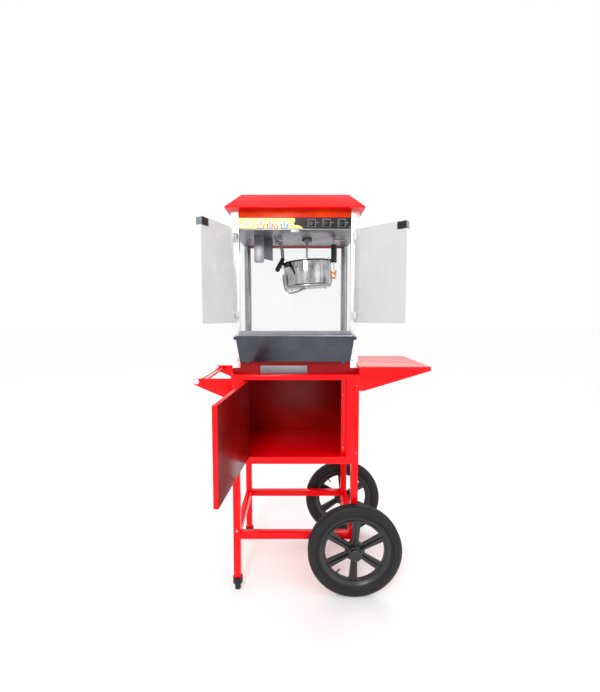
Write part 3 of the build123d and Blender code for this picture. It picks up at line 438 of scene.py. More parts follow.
def refined_copy(node: str, width_mm: float, finishes: list[Finish],
                 pick: Callable[[Vector, Vector], int] | None = None) -> bpy.types.Object:
    """Copies a CAD node with merged points and softly rounded edges, and stands it for the node.

    Args:
        node: CAD node name.
        width_mm: edge radius.
        finishes: finishes in slot order.
        pick: function from a loose part's centre and size to its slot number.

    Returns:
        The copy.
    """
    mesh = bmesh.new()
    mesh.from_mesh(frame["nodes"][node].data)
    bmesh.ops.remove_doubles(mesh, verts=mesh.verts, dist=2e-6)
    bmesh.ops.dissolve_limit(mesh, angle_limit=math.radians(0.6), verts=mesh.verts, edges=mesh.edges)
    for island in islands(mesh):
        spots = [vert.co for face in island for vert in face.verts]
        low = Vector(min(spot[axis] for spot in spots) for axis in range(3))
        high = Vector(max(spot[axis] for spot in spots) for axis in range(3))
        for face in island:
            face.material_index = pick((low + high) / 2, high - low) if pick else 0
    piece = link_mesh(node + "_finished", mesh, finishes)
    soften(piece, width_mm)
    settle(piece, body_name(node), NODE_SLOTS[node], node)
    return piece


def islands(mesh: bmesh.types.BMesh) -> list[list[bmesh.types.BMFace]]:
    """Splits a mesh's faces into connected groups."""
    left = set(mesh.faces)
    groups = []
    while left:
        stack = [left.pop()]
        group = []
        while stack:
            face = stack.pop()
            group.append(face)
            for edge in face.edges:
                for other in edge.link_faces:
                    if other in left:
                        left.remove(other)
                        stack.append(other)
        groups.append(group)
    return groups


def body_name(node: str) -> str:
    """Body that a CAD node belongs to."""
    for body, nodes in frame["record"]["behaviour"]["bodies"].items():
        if node in nodes:
            return body
    raise KeyError(node)


def revolve(mesh: bmesh.types.BMesh, profile: list[Flat], place: Matrix, steps: int = 64) -> None:
    """Adds a closed body of revolution.

    Args:
        mesh: mesh to add to.
        profile: radius and height of each point, from the axis back to the axis or as a closed ring.
        place: carries the local Z axis to its place.
        steps: facets round the axis.
    """
    rings = []
    for step in range(steps):
        turn = 2 * math.pi * step / steps
        rings.append([mesh.verts.new(place @ Vector((r * math.cos(turn), r * math.sin(turn), h)))
                      for r, h in profile])
    closed = profile[0][0] > 1e-9
    count = len(profile) if closed else len(profile) - 1
    for step in range(steps):
        here, there = rings[step], rings[(step + 1) % steps]
        for index in range(count):
            after = (index + 1) % len(profile)
            mesh.faces.new([here[index], here[after], there[after], there[index]])


def arc(centre: Flat, radius: float, start: float, end: float, steps: int) -> list[Flat]:
    """Points of a circular arc between two angles in degrees."""
    points = []
    for step in range(steps + 1):
        angle = math.radians(start + (end - start) * step / steps)
        points.append((centre[0] + radius * math.cos(angle), centre[1] + radius * math.sin(angle)))
    return points


def facing(origin: Vector, normal: Vector) -> Matrix:
    """Matrix that carries local +Z to a direction at a point."""
    return Matrix.Translation(origin) @ normal.to_track_quat("Z", "Y").to_matrix().to_4x4()


def rounded(points: list[Flat], radius: float, steps: int = 5) -> list[Flat]:
    """Rounds each corner of a closed outline with an arc that fits its sides.

    Args:
        points: corners in order.
        radius: wished corner radius.
        steps: points per corner less one.

    Returns:
        The smoother outline.
    """
    result = []
    count = len(points)
    for index, corner in enumerate(points):
        here = Vector(corner)
        before = Vector(points[index - 1]) - here
        after = Vector(points[(index + 1) % count]) - here
        half = before.angle(after) / 2
        if half > math.radians(80):
            result.append(corner)
            continue
        cut = min(radius / math.tan(half), before.length * 0.45, after.length * 0.45)
        start = here + before.normalized() * cut
        end = here + after.normalized() * cut
        for step in range(steps + 1):
            t = step / steps
            spot = start * (1 - t) ** 2 + here * 2 * t * (1 - t) + end * t ** 2
            result.append((spot.x, spot.y))
    return result


def prism(mesh: bmesh.types.BMesh, outline: list[Flat], low: float, high: float,
          place: Matrix, slot: int = 0) -> None:
    """Adds an extruded outline with flat ends.

    Args:
        mesh: mesh to add to.
        outline: corners in the local X-Y plane.
        low: start height along local Z.
        high: end height along local Z.
        place: carries the local frame to its place.
        slot: material slot number.
    """
    bottom = [mesh.verts.new(place @ Vector((x, y, low))) for x, y in outline]
    top = [mesh.verts.new(place @ Vector((x, y, high))) for x, y in outline]
    faces = [mesh.faces.new(bottom), mesh.faces.new(list(reversed(top)))]
    count = len(outline)
    for index in range(count):
        after = (index + 1) % count
        faces.append(mesh.faces.new((bottom[after], bottom[index], top[index], top[after])))
    for face in faces:
        face.material_index = slot


# ------------------------------------------------------------------ screws by Geometry Nodes
@dataclass
class ScrewSet:
    """Domed cross-recess screws set on faces of one body.

    Attributes:
        name: piece name.
        body: CAD body that carries them.
        spots: point and outward direction of each screw, in metres.
        head_mm: head radius.
        finish: finish of the heads.
    """

    name: str
    body: str
    spots: list[tuple[Point, Point]]
    head_mm: float = 3.4
    finish: Finish = ZINC
    slot: Slot = Slot.PLATED
    facets: int = 20

    def tree(self) -> bpy.types.NodeTree:
        """Builds the node tree that puts a screw head on every point, with black bars across it as painted
        shade in the cross recess.
        """
        group = bpy.data.node_groups.new(self.name + "_tree", "GeometryNodeTree")
        sides = group.interface
        sides.new_socket("Geometry", in_out="INPUT", socket_type="NodeSocketGeometry")
        radius = sides.new_socket("Head Radius", in_out="INPUT", socket_type="NodeSocketFloat")
        radius.default_value = self.head_mm * MM
        sides.new_socket("Geometry", in_out="OUTPUT", socket_type="NodeSocketGeometry")
        entry = add_node(group, "NodeGroupInput")
        size = entry.outputs["Head Radius"]
        rise = add_node(group, "ShaderNodeMath", {0: size, 1: 0.55}, operation="MULTIPLY").outputs[0]
        crown = add_node(group, "ShaderNodeMath", {0: size, 1: 0.62}, operation="MULTIPLY").outputs[0]
        head = add_node(group, "GeometryNodeMeshCone", {
            "Vertices": self.facets, "Radius Top": crown, "Radius Bottom": size, "Depth": rise})
        joined = add_node(group, "GeometryNodeJoinGeometry")
        group.links.new(head.outputs["Mesh"], joined.inputs[0])
        for turn in (0.0, math.pi / 2):
            long_side = add_node(group, "ShaderNodeMath", {0: size, 1: 1.05}, operation="MULTIPLY").outputs[0]
            thin_side = add_node(group, "ShaderNodeMath", {0: size, 1: 0.2}, operation="MULTIPLY").outputs[0]
            bar_size = add_node(group, "ShaderNodeCombineXYZ", {
                0: long_side, 1: thin_side, 2: thin_side}).outputs[0]
            bar = add_node(group, "GeometryNodeMeshCube", {"Size": bar_size})
            lift = add_node(group, "ShaderNodeCombineXYZ", {2: rise}).outputs[0]
            moved = add_node(group, "GeometryNodeTransform", {
                "Geometry": bar.outputs["Mesh"], "Translation": lift, "Rotation": (0.0, 0.0, turn)})
            # Black bars stand for the cross recess: painted shade where its hollow would be.
            dark = add_node(group, "GeometryNodeSetMaterial", {
                "Geometry": moved.outputs[0], "Material": BLACK_PLASTIC.build()})
            group.links.new(dark.outputs[0], joined.inputs[0])
        normal = add_node(group, "GeometryNodeInputNamedAttribute", {"Name": "outward"},
                          data_type="FLOAT_VECTOR")
        turned = add_node(group, "FunctionNodeAlignEulerToVector", {"Vector": normal.outputs[0]}, axis="Z")
        placed = add_node(group, "GeometryNodeInstanceOnPoints", {
            "Points": entry.outputs["Geometry"], "Instance": joined.outputs[0],
            "Rotation": turned.outputs[0]})
        real = add_node(group, "GeometryNodeRealizeInstances", {"Geometry": placed.outputs[0]})
        index = add_node(group, "GeometryNodeInputMaterialIndex")
        first = add_node(group, "FunctionNodeCompare", {2: index.outputs[0], 3: 0},
                         data_type="INT", operation="EQUAL")
        painted = add_node(group, "GeometryNodeSetMaterial", {
            "Geometry": real.outputs[0], "Selection": first.outputs[0], "Material": self.finish.build()})
        add_node(group, "NodeGroupOutput", {"Geometry": painted.outputs[0]})
        return group

    def build(self) -> bpy.types.Object:
        """Makes the screws and lets them ride on their body.

        Returns:
            The finished piece.
        """
        data = bpy.data.meshes.new(self.name)
        data.from_pydata([spot for spot, _ in self.spots], [], [])
        outward = data.attributes.new("outward", "FLOAT_VECTOR", "POINT")
        for item, (_, direction) in zip(outward.data, self.spots):
            item.vector = direction
        piece = bpy.data.objects.new(self.name, data)
        bpy.context.scene.collection.objects.link(piece)
        attach(piece, self.tree(), {"Head Radius": self.head_mm * MM})
        bake(piece)
        settle(piece, self.body, self.slot)
        return piece


# ------------------------------------------------------------------ wheels
@dataclass
class Wheel:
    """Moulded disc wheel with a solid tyre.

    Attributes:
        end: front or rear.
        outward: minus one if the hub cap faces the door side.
    """

    end: str
    outward: int
    spokes: int = 6
    first_spoke: float = 27.0
    window_radius: float = 118.0
    bead_radius: float = 141.0
    hub_radius: float = 28.0
    spoke_half: float = 12.5
    web_half: float = 6.0
    steps: int = 96

    def place(self) -> Matrix:
        """Matrix from the wheel's own frame, hub cap along +Z, to the object."""
        centre = middle("wheel_tyre_" + self.end)
        return Matrix.Translation(centre) @ Matrix.Rotation(math.radians(-90 * self.outward), 4, "X")

    def tyre(self) -> bpy.types.Object:
        """Builds the tyre with its shoulder groove and shallow tread lines."""
        low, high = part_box("wheel_tyre_" + self.end)
        radius = (high[2] - low[2]) / 2
        half = (high[1] - low[1]) / 2
        inner = self.bead_radius * MM
        side = [(inner, half - 0.004), (inner + 0.003, half - 0.001), (inner + 0.009, half - 0.0005),
                (inner + 0.011, half - 0.0025), (inner + 0.013, half - 0.0005)]
        side += arc((radius - 0.016, half - 0.016), 0.016, 80, 8, 8)
        crown = []
        for lane in (0.010, 0.003):
            crown += [(radius, lane + 0.0015), (radius - 0.002, lane + 0.0008),
                      (radius - 0.002, lane - 0.0008), (radius, lane - 0.0015)]
        upper = side + crown
        profile = upper + [(r, -h) for r, h in reversed(upper)]
        mesh = bmesh.new()
        revolve(mesh, profile, self.place(), self.steps)
        piece = make_piece("tyre_" + self.end, mesh, [TYRE_RUBBER])
        shade_by_angle(piece, 40)
        settle(piece, self.end + "_wheel", Slot.TYRE, "wheel_tyre_" + self.end)
        return piece

    def window(self, index: int) -> list[Flat]:
        """Outline of the opening between two spokes."""
        step = 360 / self.spokes
        middle_angle = self.first_spoke + (index + 0.5) * step
        outer = self.window_radius * MM
        half = self.spoke_half * MM
        inset = math.degrees(math.asin(half * 1.35 / outer))
        rim_side = arc((0, 0), outer, middle_angle - step / 2 + inset, middle_angle + step / 2 - inset, 12)
        inner = 0.040
        inner_inset = math.degrees(math.asin(min(0.94, half / inner)))
        hub_side = arc((0, 0), inner, middle_angle + step / 2 - inner_inset,
                       middle_angle - step / 2 + inner_inset, 2)
        return rounded(rim_side + hub_side, 0.009)

    def rim(self) -> bpy.types.Object:
        """Builds the web with rounded windows, the barrel, ribs, hub and valve."""
        place = self.place()
        web = bmesh.new()
        half = self.web_half * MM
        bead = self.bead_radius * MM
        revolve(web, [(0, -half), (bead - 0.006, -half), (bead - 0.006, half), (0, half)], place, self.steps)
        piece = make_piece("rim_" + self.end, web, [WHEEL_PLASTIC])
        cutter_mesh = bmesh.new()
        for index in range(self.spokes):
            prism(cutter_mesh, self.window(index), -0.03, 0.03, place)
        cutter = make_piece("cutter_" + self.end, cutter_mesh, [WHEEL_PLASTIC])
        cut = piece.modifiers.new("windows", "BOOLEAN")
        cut.object = cutter
        cut.operation = "DIFFERENCE"
        bake(piece)
        bpy.data.objects.remove(cutter)
        soften(piece, 1.6)
        body = bmesh.new()
        body.from_mesh(piece.data)
        self.add_barrel(body, place)
        self.add_ribs(body, place)
        self.add_hub(body, place)
        body.to_mesh(piece.data)
        body.free()
        shade_by_angle(piece, 38)
        settle(piece, self.end + "_wheel", Slot.WHEEL, "wheel_rim_" + self.end)
        return piece

    def add_barrel(self, mesh: bmesh.types.BMesh, place: Matrix) -> None:
        """Adds the ring that seats the tyre, with a rolled lip at each side."""
        bead = self.bead_radius * MM
        inner = (self.window_radius + 6) * MM
        lip = 0.0175
        profile = [(inner, -0.008), (inner + 0.004, -0.010), (bead - 0.007, -lip + 0.002),
                   (bead - 0.004, -lip), (bead + 0.001, -lip + 0.001), (bead + 0.001, lip - 0.001),
                   (bead - 0.004, lip),
                   (bead - 0.007, lip - 0.002), (inner + 0.004, 0.010), (inner, 0.008)]
        revolve(mesh, profile, place, self.steps)

    def add_ribs(self, mesh: bmesh.types.BMesh, place: Matrix) -> None:
        """Adds a tapered stiffening rib along each spoke on both faces."""
        for index in range(self.spokes):
            turn = place @ Matrix.Rotation(math.radians(self.first_spoke + index * 360 / self.spokes), 4, "Z")
            for side in (1, -1):
                near, far = 0.024, (self.window_radius + 8) * MM
                rows = []
                for reach, height, thick in ((near, 0.018, 0.0032), (0.075, 0.0125, 0.0026),
                                             (far, 0.0095, 0.0024)):
                    rows.append([mesh.verts.new(turn @ Vector((reach, y, side * z))) for y, z in (
                        (-thick - 0.0012, 0.004), (-thick, height), (thick, height),
                        (thick + 0.0012, 0.004))])
                for a, b in zip(rows, rows[1:]):
                    for low in range(3):
                        corners = (a[low], b[low], b[low + 1], a[low + 1])
                        mesh.faces.new(corners if side > 0 else tuple(reversed(corners)))
                    under = (a[3], b[3], b[0], a[0])
                    mesh.faces.new(under if side > 0 else tuple(reversed(under)))
                mesh.faces.new(rows[0] if side > 0 else list(reversed(rows[0])))
                mesh.faces.new(list(reversed(rows[-1])) if side > 0 else rows[-1])

    def add_hub(self, mesh: bmesh.types.BMesh, place: Matrix) -> None:
        """Adds the stepped hub, its domed cap and the valve stub."""
        radius = self.hub_radius * MM
        profile = [(0, -0.0195), (radius - 0.002, -0.0195), (radius, -0.0175), (radius + 0.003, -0.005),
                   (radius + 0.003, 0.005), (radius, 0.019), (radius - 0.001, 0.024),
                   (radius - 0.0045, 0.0255), (radius - 0.0055, 0.0275), (radius - 0.0055, 0.0385),
                   (radius - 0.0075, 0.0408),
                   (radius - 0.011, 0.0415), (0, 0.0418)]
        revolve(mesh, profile, place, 40)
        angle = math.radians(232)
        reach = (self.window_radius + 4) * MM
        root = Vector((reach * math.cos(angle), reach * math.sin(angle), 0))
        towards = Vector((-math.cos(angle), -math.sin(angle), 0.15))
        revolve(mesh, [(0, 0), (0.0042, 0), (0.0042, 0.009), (0.003, 0.011), (0.0026, 0.019),
                       (0.0032, 0.0195), (0.0032, 0.025), (0, 0.0255)], place @ facing(root, towards), 14)


def paint_facing(piece: bpy.types.Object, finish: Finish, chosen: Callable[[Vector, Vector], bool]) -> None:
    """Gives a second finish to the faces that a test picks.

    Args:
        piece: the object.
        finish: the second finish.
        chosen: test of a face's centre and normal.
    """
    piece.data.materials.append(finish.build())
    for face in piece.data.polygons:
        if chosen(face.center, face.normal):
            face.material_index = len(piece.data.materials) - 1


# ------------------------------------------------------------------ folded sheet work
@dataclass
class SheetWork:
    """Folded and welded sheet pieces with softly rolled edges.

    Attributes:
        edges: edge radius in millimetres for each CAD node.
    """

    edges: dict[str, float] = field(default_factory=lambda: {
        "roof_canopy": 1.6, "top_housing": 0.5, "side_shelf": 0.5, "cart_sides": 0.4, "cart_back": 0.4,
        "cart_floor": 0.4, "kettle_pot": 0.3, "heater_conduit": 0.3,
        "cart_top_panel": 0.4, "cart_front_frame": 0.45, "cart_door": 1.2, "leg_frames": 0.6,
        "cross_rails": 0.6, "handle_brackets": 0.6, "plinth": 0.5, "front_tray": 0.4, "kernel_drawer": 0.4,
        "front_posts": 0.45, "ceiling_pan": 0.3, "lamp_cover": 0.4, "hanger_left": 0.6, "post_hinges": 0.4,
        "cart_hinge_leaves": 0.4, "cart_door_knuckles": 0.4, "switch_bezels": 0.5, "rocker_heat": 0.7,
        "rocker_stir": 0.7, "rocker_lamp": 0.7, "mains_inlet": 0.6, "levelling_feet": 1.4, "gear_motor": 1.6,
        "magnetic_catches": 0.6, "dump_handle": 2.0, "kettle_rim": 0.5, "hanger_grip": 0.4, "agitator": 0.6,
        "kettle_base": 0.6, "lid_front": 0.3, "lid_rear": 0.3, "push_handle": 0.5, "drive_boss": 0.5,
        "glass_panes": 0.8, "door_glass_left": 0.8, "door_glass_right": 0.8, "wheel_axle": 0.8,
    })

    def build(self) -> None:
        """Makes the rounded copy of each listed node and dresses the nodes that stay."""
        for name, node in frame["nodes"].items():
            finish = NODE_FINISHES.get(name, SLOT_FINISHES[NODE_SLOTS[name]])
            if name in self.edges:
                piece = refined_copy(name, self.edges[name], [finish])
                self.shade_inside(name, piece)
            else:
                dress(node, finish)

    def shade_inside(self, name: str, piece: bpy.types.Object) -> None:
        """Paints shade into the cupboard's inner faces, the door's inner face and the plinth front under the
        tray, warm bounce light under the eave, and a pale reflection on the tray's brim.
        """
        heart = middle("cart_sides")
        if name in ("cart_sides", "cart_back", "cart_top_panel"):
            paint_facing(piece, RED_INSIDE, lambda centre, normal: normal.dot(heart - centre) > 0.05)
        if name == "cart_door":
            paint_facing(piece, RED_SHADE, lambda centre, normal: normal.x > 0.9)
        if name == "top_housing":
            paint_facing(piece, RED_WARM, lambda centre, normal: normal.y < -0.7)
        if name == "front_tray":
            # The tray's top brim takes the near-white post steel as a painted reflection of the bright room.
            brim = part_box(name)[1][2] - 0.002
            paint_facing(piece, POST_STEEL, lambda centre, normal: normal.z > 0.5 and centre.z > brim)
        if name == "plinth":
            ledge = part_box("plinth")[0][2] + 0.0245
            paint_facing(piece, RED_DEEP, lambda centre, normal: normal.y < -0.7 and centre.z > ledge)


# ------------------------------------------------------------------ door and hanger hardware
@dataclass
class DoorHardware:
    """Clamps, catch plate and bent pull of one glass door.

    Attributes:
        side: left or right.
    """

    side: str
    clamp_height: float = 0.0255

    def pick(self, centre: Vector, size: Vector) -> int:
        """Chooses chrome for the clamps, bright steel for the pull and black for the catch plate."""
        if size.z > self.clamp_height:
            return 0
        return 1 if max(size.x, size.y) < 0.036 and min(size.x, size.y) < 0.03 and self.is_plate(size) else 2

    def is_plate(self, size: Vector) -> bool:
        """Whether a loose part is as thin as the catch plate."""
        turn = math.radians(111.7 if self.side == "left" else 136.9)
        wide = abs(math.cos(turn)) * 0.035 + abs(math.sin(turn)) * 0.0026
        return abs(size.x - wide) < 0.004

    def build(self) -> None:
        """Makes the finished hardware."""
        refined_copy("door_fittings_" + self.side, 0.5, [POST_STEEL, BLACK_PLASTIC, TUBE_STEEL], self.pick)


@dataclass
class CopperShoe:
    """Right kettle hanger: a steel strap with a copper contact shoe at its foot."""

    shoe_top: float = 1.3245

    def build(self) -> None:
        """Copies the hanger and colours the faces of its shoe."""
        piece = refined_copy("hanger_right", 0.5, [BRUSHED_STEEL, COPPER])
        for face in piece.data.polygons:
            face.material_index = 1 if face.center.z < self.shoe_top else 0


# ------------------------------------------------------------------ printed control panel
@dataclass(frozen=True)
class CornBox:
    """A striped carton of popped corn on the overlay.

    Attributes:
        x: middle, measured from the panel's left edge.
        low: foot height above the panel's lower edge.
        width: width at the mouth.
        height: height of the carton.
        ink: material slot number of its stripes.
    """

    x: float
    low: float
    width: float
    height: float
    ink: int


@dataclass
class ControlPanel:
    """Printed overlay: a yellow field with cartons of popped corn, and marks by the switches.

    Attributes:
        lift: how far each ink layer stands off the one below.
        field_end: where the yellow field ends.
        corn: place and radius of each loose kernel.
        cartons: the cartons.
    """

    lift: float = 0.00012
    height: float = 0.0425
    field_end: float = 0.252
    corn: tuple[tuple[float, float, float], ...] = (
        (0.014, 0.012, 0.0075), (0.030, 0.027, 0.0085), (0.034, 0.010, 0.0060), (0.050, 0.017, 0.0070),
        (0.062, 0.030, 0.0055), (0.070, 0.009, 0.0055), (0.150, 0.033, 0.0050), (0.204, 0.012, 0.0055),
        (0.210, 0.030, 0.0045))
    cartons: tuple[CornBox, ...] = (
        CornBox(0.087, 0.002, 0.030, 0.023, 3), CornBox(0.122, 0.003, 0.024, 0.020, 2),
        CornBox(0.146, 0.002, 0.017, 0.014, 6), CornBox(0.178, 0.002, 0.032, 0.022, 4))

    def ink(self, mesh: bmesh.types.BMesh, outline: list[Flat], layer: int, slot: int) -> None:
        """Prints one flat shape.

        Args:
            mesh: mesh to add to.
            outline: corners measured right and up from the panel's low left corner, in metres.
            layer: one for the lowest ink.
            slot: material slot number.
        """
        corner = Vector(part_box("control_panel")[0])
        place = Matrix.Translation(corner) @ Matrix.Rotation(math.radians(90), 4, "X")
        prism(mesh, outline, 0.0, layer * self.lift, place, slot)

    def kernel(self, mesh: bmesh.types.BMesh, x: float, y: float, radius: float, layer: int,
               phase: float) -> None:
        """Prints a popped kernel: a dark rim, a white body, a warm heart and a highlight."""
        for shade, size, dx, dy in ((7, 1.14, 0.0, 0.0), (1, 1.0, 0.0, 0.0), (3, 0.34, 0.2, -0.25),
                                    (1, 0.22, 0.1, -0.1)):
            points = []
            for step in range(24):
                turn = 2 * math.pi * step / 24
                reach = radius * size * (0.78 + 0.22 * abs(math.cos(2.5 * turn + phase)))
                points.append((x + radius * dx + reach * math.cos(turn),
                               y + radius * dy + reach * math.sin(turn)))
            self.ink(mesh, points, layer, shade)
            layer += 1

    def carton(self, mesh: bmesh.types.BMesh, box: CornBox) -> None:
        """Prints a striped carton with corn heaped over its mouth."""
        top = box.low + box.height
        foot = box.width * 0.36
        mouth = box.width * 0.5
        self.ink(mesh, [(box.x - foot - 0.0007, box.low - 0.0007), (box.x + foot + 0.0007, box.low - 0.0007),
                        (box.x + mouth + 0.0007, top), (box.x - mouth - 0.0007, top)], 7, 7)
        stripes = 5
        for index in range(stripes):
            a, b = -1 + 2 * index / stripes, -1 + 2 * (index + 1) / stripes
            self.ink(mesh, [(box.x + foot * a, box.low), (box.x + foot * b, box.low),
                            (box.x + mouth * b, top),
                            (box.x + mouth * a, top)], 8, box.ink if index % 2 == 0 else 1)
        for index in range(5):
            share = (index - 2) / 2
            self.kernel(mesh, box.x + mouth * 0.8 * share, top + 0.0055 * (1 - share ** 2), box.width * 0.2,
                        9, index * 1.1)

    def build(self) -> bpy.types.Object:
        """Prints the whole overlay."""
        mesh = bmesh.new()
        edge = 0.0012
        end = self.field_end
        self.ink(mesh, [(edge, edge), (end, edge), (end - 0.010, 0.009), (end - 0.020, 0.0135),
                        (end - 0.034, 0.0140),
                        (end - 0.036, 0.022), (end - 0.031, 0.032), (end - 0.034, self.height - edge),
                        (edge, self.height - edge)], 1, 0)
        inks = (2, 3, 4, 5, 6)
        for index in range(54):
            x = 0.008 + (index * 0.0613) % (end - 0.052)
            y = 0.004 + (index * 0.0177) % 0.034
            size = 0.0011 + 0.0007 * (index % 3)
            turn = index * 1.3
            points = [(x + size * 1.5 * math.cos(turn + a), y + size * math.sin(turn + a))
                      for a in (0, 2.1, 4.2)]
            self.ink(mesh, points, 2, inks[index % 5])
        for index, (x, y, radius) in enumerate(self.corn):
            self.kernel(mesh, x, y, radius, 3, index * 0.9)
        for box in self.cartons:
            self.carton(mesh, box)
        self.marks(mesh)
        piece = make_piece("panel_print", mesh, PRINT_INKS, smooth=False)
        settle(piece, body_name("control_panel"), Slot.PANEL)
        return piece

    def marks(self, mesh: bmesh.types.BMesh) -> None:
        """Prints a grey frame round each switch and a plain dash beside it."""
        corner = Vector(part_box("control_panel")[0])
        for name in ("rocker_heat", "rocker_stir", "rocker_lamp"):
            spot = middle(name) - corner
            x, y = spot.x, spot.z
            half, line = 0.0136, 0.0014
            wide = half + line
            for a, b, c, d in ((-wide, -wide, wide, -half), (-wide, half, wide, wide),
                               (-wide, -half, -half, half), (half, -half, wide, half)):
                self.ink(mesh, [(x + a, y + b), (x + c, y + b), (x + c, y + d), (x + a, y + d)], 1, 8)
            start, stop, low, high = x + 0.0172, x + 0.0262, y + 0.0002, y + 0.0020
            self.ink(mesh, [(start, low), (stop, low), (stop, high), (start, high)], 1, 8)


# ------------------------------------------------------------------ sleeve of the heater hose
@dataclass
class HoseSleeve:
    """Stainless convolutions wound round the heater hose."""

    radius_mm: float = 7.0
    wire_mm: float = 1.0
    pitch_mm: float = 2.3

    def path(self) -> list[Vector]:
        """Centre line of the hose from its ceiling bracket to the pivot."""
        low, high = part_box("heater_hose")
        top = high[2] - 0.012
        x = high[0] - 0.007
        y = (low[1] + high[1]) / 2 + 0.0005
        bend = 0.012
        points = [Vector((low[0] + 0.008, y, top)), Vector((x - 0.012 - bend, y, top - 0.001))]
        for step in range(1, 7):
            turn = math.radians(90 * step / 6)
            points.append(Vector((x - 0.008 - bend + bend * math.sin(turn), y,
                                  top - 0.002 - bend * (1 - math.cos(turn)))))
        points.append(Vector((x - 0.0015, y, low[2] + 0.030)))
        points.append(Vector((x, y, low[2] + 0.001)))
        return points

    def tree(self) -> bpy.types.NodeTree:
        """Builds the tree that winds rings along the line."""
        group = bpy.data.node_groups.new("hose_sleeve_tree", "GeometryNodeTree")
        sides = group.interface
        sides.new_socket("Geometry", in_out="INPUT", socket_type="NodeSocketGeometry")
        for name, value in (("Hose Radius", self.radius_mm), ("Wire Radius", self.wire_mm),
                            ("Pitch", self.pitch_mm)):
            sides.new_socket(name, in_out="INPUT", socket_type="NodeSocketFloat").default_value = value * MM
        sides.new_socket("Geometry", in_out="OUTPUT", socket_type="NodeSocketGeometry")
        entry = add_node(group, "NodeGroupInput")
        line = add_node(group, "GeometryNodeMeshToCurve", {0: entry.outputs["Geometry"]})
        spots = add_node(group, "GeometryNodeCurveToPoints", {
            "Curve": line.outputs[0], "Length": entry.outputs["Pitch"]}, mode="LENGTH")
        ring = add_node(group, "GeometryNodeCurvePrimitiveCircle", {
            "Resolution": 20, "Radius": entry.outputs["Hose Radius"]}, mode="RADIUS")
        wire = add_node(group, "GeometryNodeCurvePrimitiveCircle", {
            "Resolution": 6, "Radius": entry.outputs["Wire Radius"]}, mode="RADIUS")
        torus = add_node(group, "GeometryNodeCurveToMesh", {
            "Curve": ring.outputs[0], "Profile Curve": wire.outputs[0]})
        placed = add_node(group, "GeometryNodeInstanceOnPoints", {
            "Points": spots.outputs["Points"], "Instance": torus.outputs[0],
            "Rotation": spots.outputs["Rotation"]})
        real = add_node(group, "GeometryNodeRealizeInstances", {0: placed.outputs[0]})
        smooth = add_node(group, "GeometryNodeSetShadeSmooth", {"Geometry": real.outputs[0]})
        dressed = add_node(group, "GeometryNodeSetMaterial", {
            "Geometry": smooth.outputs[0], "Material": TUBE_STEEL.build()})
        add_node(group, "NodeGroupOutput", {0: dressed.outputs[0]})
        return group

    def build(self) -> bpy.types.Object:
        """Makes the sleeve."""
        points = self.path()
        data = bpy.data.meshes.new("hose_sleeve")
        data.from_pydata(points, [(index, index + 1) for index in range(len(points) - 1)], [])
        piece = bpy.data.objects.new("hose_sleeve", data)
        bpy.context.scene.collection.objects.link(piece)
        attach(piece, self.tree(), {"Hose Radius": self.radius_mm * MM, "Wire Radius": self.wire_mm * MM,
                                    "Pitch": self.pitch_mm * MM})
        bake(piece)
        settle(piece, body_name("heater_hose"), Slot.STAINLESS)
        return piece


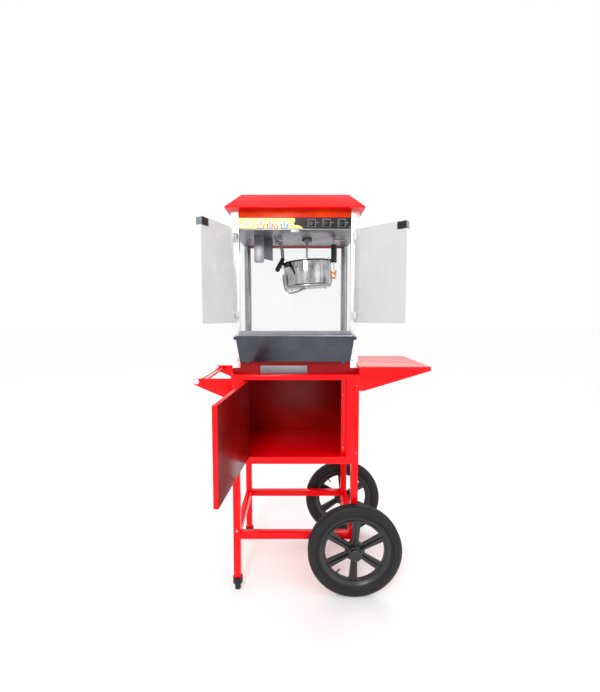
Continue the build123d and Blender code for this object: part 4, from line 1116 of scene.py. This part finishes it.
# ------------------------------------------------------------------ screws of the cabinet and cart
def screw_sets() -> list[ScrewSet]:
    """Lists every set of screws with its places, worked out from the CAD nodes' boxes."""
    post_low, post_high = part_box("front_posts")
    front = (0.0, -1.0, 0.0)
    eave = post_high[2]
    posts = []
    for side in (-1, 1):
        edge = post_low[0] if side < 0 else post_high[0]
        for drop in (0.046, 0.070, 0.013, 0.590):
            posts.append(((edge - side * 0.0225, post_low[1], eave - drop), front))
    frame_low, frame_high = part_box("cart_front_frame")
    for z in (frame_low[2] + 0.045, frame_high[2] - 0.042):
        for x in (frame_low[0] + 0.009, frame_high[0] - 0.009):
            posts.append(((x, frame_low[1], z), front))
    housing_low, housing_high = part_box("top_housing")
    back = (0.0, 1.0, 0.0)
    rear = []
    for x_share in (0.04, 0.35, 0.65, 0.96):
        x = housing_low[0] + (housing_high[0] - housing_low[0]) * x_share
        rear.append(((x, housing_high[1], housing_high[2] - 0.012), back))
    back_low, back_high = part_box("cart_back")
    for x_share in (0.03, 0.5, 0.97):
        for z in (back_low[2] + 0.012, back_high[2] - 0.012):
            rear.append(((back_low[0] + (back_high[0] - back_low[0]) * x_share, back_high[1], z), back))
    sides_low, sides_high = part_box("cart_sides")
    for side, x in ((-1.0, sides_low[0]), (1.0, sides_high[0])):
        for y in (sides_low[1] + 0.012, sides_high[1] - 0.012):
            for z in (sides_low[2] + 0.012, sides_low[2] + 0.150, sides_low[2] + 0.250):
                rear.append(((x, y, z), (side, 0.0, 0.0)))
    stop_x = frame_high[0] - 0.0595
    stop_sink = 0.0017
    for z in (frame_low[2] + 0.061, frame_high[2] - 0.0835):
        posts.append(((stop_x, frame_high[1] - 0.0015 + stop_sink, z), front))
    panel_low, panel_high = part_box("control_panel")
    for x in (panel_low[0] + 0.006, panel_high[0] - 0.006):
        posts.append(((x, panel_low[1], panel_low[2] + 0.006), front))
    boss_low, boss_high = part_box("drive_boss")
    left_low, left_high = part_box("hanger_left")
    right_low, right_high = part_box("hanger_right")
    boss_y = (boss_low[1] + boss_high[1]) / 2
    hanger_y = (right_low[1] + right_high[1]) / 2
    boss_gap, near_gap, far_gap = 0.014, 0.008, 0.022
    overhead = [(boss_low[0] - boss_gap, boss_y), (boss_high[0] + boss_gap, boss_y),
                (right_high[0] + near_gap, hanger_y), (right_high[0] + far_gap, hanger_y),
                (left_low[0] - near_gap, hanger_y), (left_low[0] - far_gap, hanger_y)]
    for x, y in overhead:
        rear.append(((x, y, boss_high[2]), (0.0, 0.0, -1.0)))
    base_low, base_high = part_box("kettle_base")
    base = []
    centre = middle("kettle_base")
    roll = Matrix.Rotation(math.radians(-4), 4, "Y")
    for angle in (30, 150, 255, 270, 285):
        turn = math.radians(angle)
        spot = roll @ Vector((0.089 * math.cos(turn), 0.089 * math.sin(turn), -0.0065))
        down = roll @ Vector((0.0, 0.0, -1.0))
        base.append((tuple(centre + spot), tuple(down)))
    return [
        ScrewSet("cabinet_screws", "stand", posts, 3.2),
        ScrewSet("panel_rivets", "stand", rear, 3.0),
        ScrewSet("kettle_screws", "kettle", base, 3.4),
    ]


# ------------------------------------------------------------------ room, lights and camera
@dataclass
class Studio:
    """Pale room with three soft lights and the camera."""

    lens: float = 19.453
    pitch_down: float = 4.0
    rise_shift: float = -0.0074
    stand_back: float = 1.4853
    eye_height: float = 1.127
    side_step: float = 0.0192

    def floor(self) -> None:
        """Lays a pale floor that runs far behind the object."""
        mesh = bmesh.new()
        bmesh.ops.create_grid(mesh, x_segments=2, y_segments=2, size=30)
        link_mesh("floor", mesh, [STUDIO_FLOOR])

    def light(self, name: str, place: Point, target: Point, size: float, power: float) -> None:
        """Adds a square soft light aimed at a point."""
        data = bpy.data.lights.new(name, "AREA")
        data.shape = "SQUARE"
        data.size = size
        data.energy = power
        lamp = bpy.data.objects.new(name, data)
        lamp.location = place
        lamp.rotation_euler = (Vector(target) - Vector(place)).to_track_quat("-Z", "Y").to_euler()
        bpy.context.scene.collection.objects.link(lamp)

    def build(self) -> None:
        """Sets the room, the lights and the camera."""
        self.floor()
        world = bpy.data.worlds.new("studio")
        world.use_nodes = True
        background = world.node_tree.nodes["Background"]
        background.inputs[0].default_value = linear("#FFFFFF")
        background.inputs[1].default_value = 1.0
        scene = bpy.context.scene
        scene.world = world
        scene.view_settings.view_transform = "Standard"
        self.light("key", (-0.7, -3.0, 2.7), (0.0, 0.1, 0.8), 0.8, 50)
        self.light("fill", (2.4, -1.8, 1.6), (0.0, 0.1, 0.8), 2.0, 10)
        self.light("rim", (0.8, 2.6, 2.6), (0.0, 0.1, 1.0), 1.8, 18)
        post_low, post_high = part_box("front_posts")
        data = bpy.data.cameras.new("camera")
        data.sensor_width = 36
        data.lens = self.lens
        data.clip_end = 100
        data.shift_y = self.rise_shift
        camera = bpy.data.objects.new("camera", data)
        camera.location = ((post_low[0] + post_high[0]) / 2 + self.side_step, post_low[1] - self.stand_back,
                           self.eye_height)
        camera.rotation_euler = (math.radians(90 - self.pitch_down), 0, 0)
        scene.collection.objects.link(camera)
        scene.camera = camera


def main() -> None:
    """Builds every finished piece."""
    logging.basicConfig(level=logging.INFO, format="%(message)s")
    Studio().build()
    SheetWork().build()
    for end, outward in (("front", -1), ("rear", 1)):
        wheel = Wheel(end, outward)
        wheel.tyre()
        wheel.rim()
    for side in ("left", "right"):
        DoorHardware(side).build()
    CopperShoe().build()
    ControlPanel().build()
    HoseSleeve().build()
    for screws in screw_sets():
        screws.build()


if __name__ == "__main__":
    main()
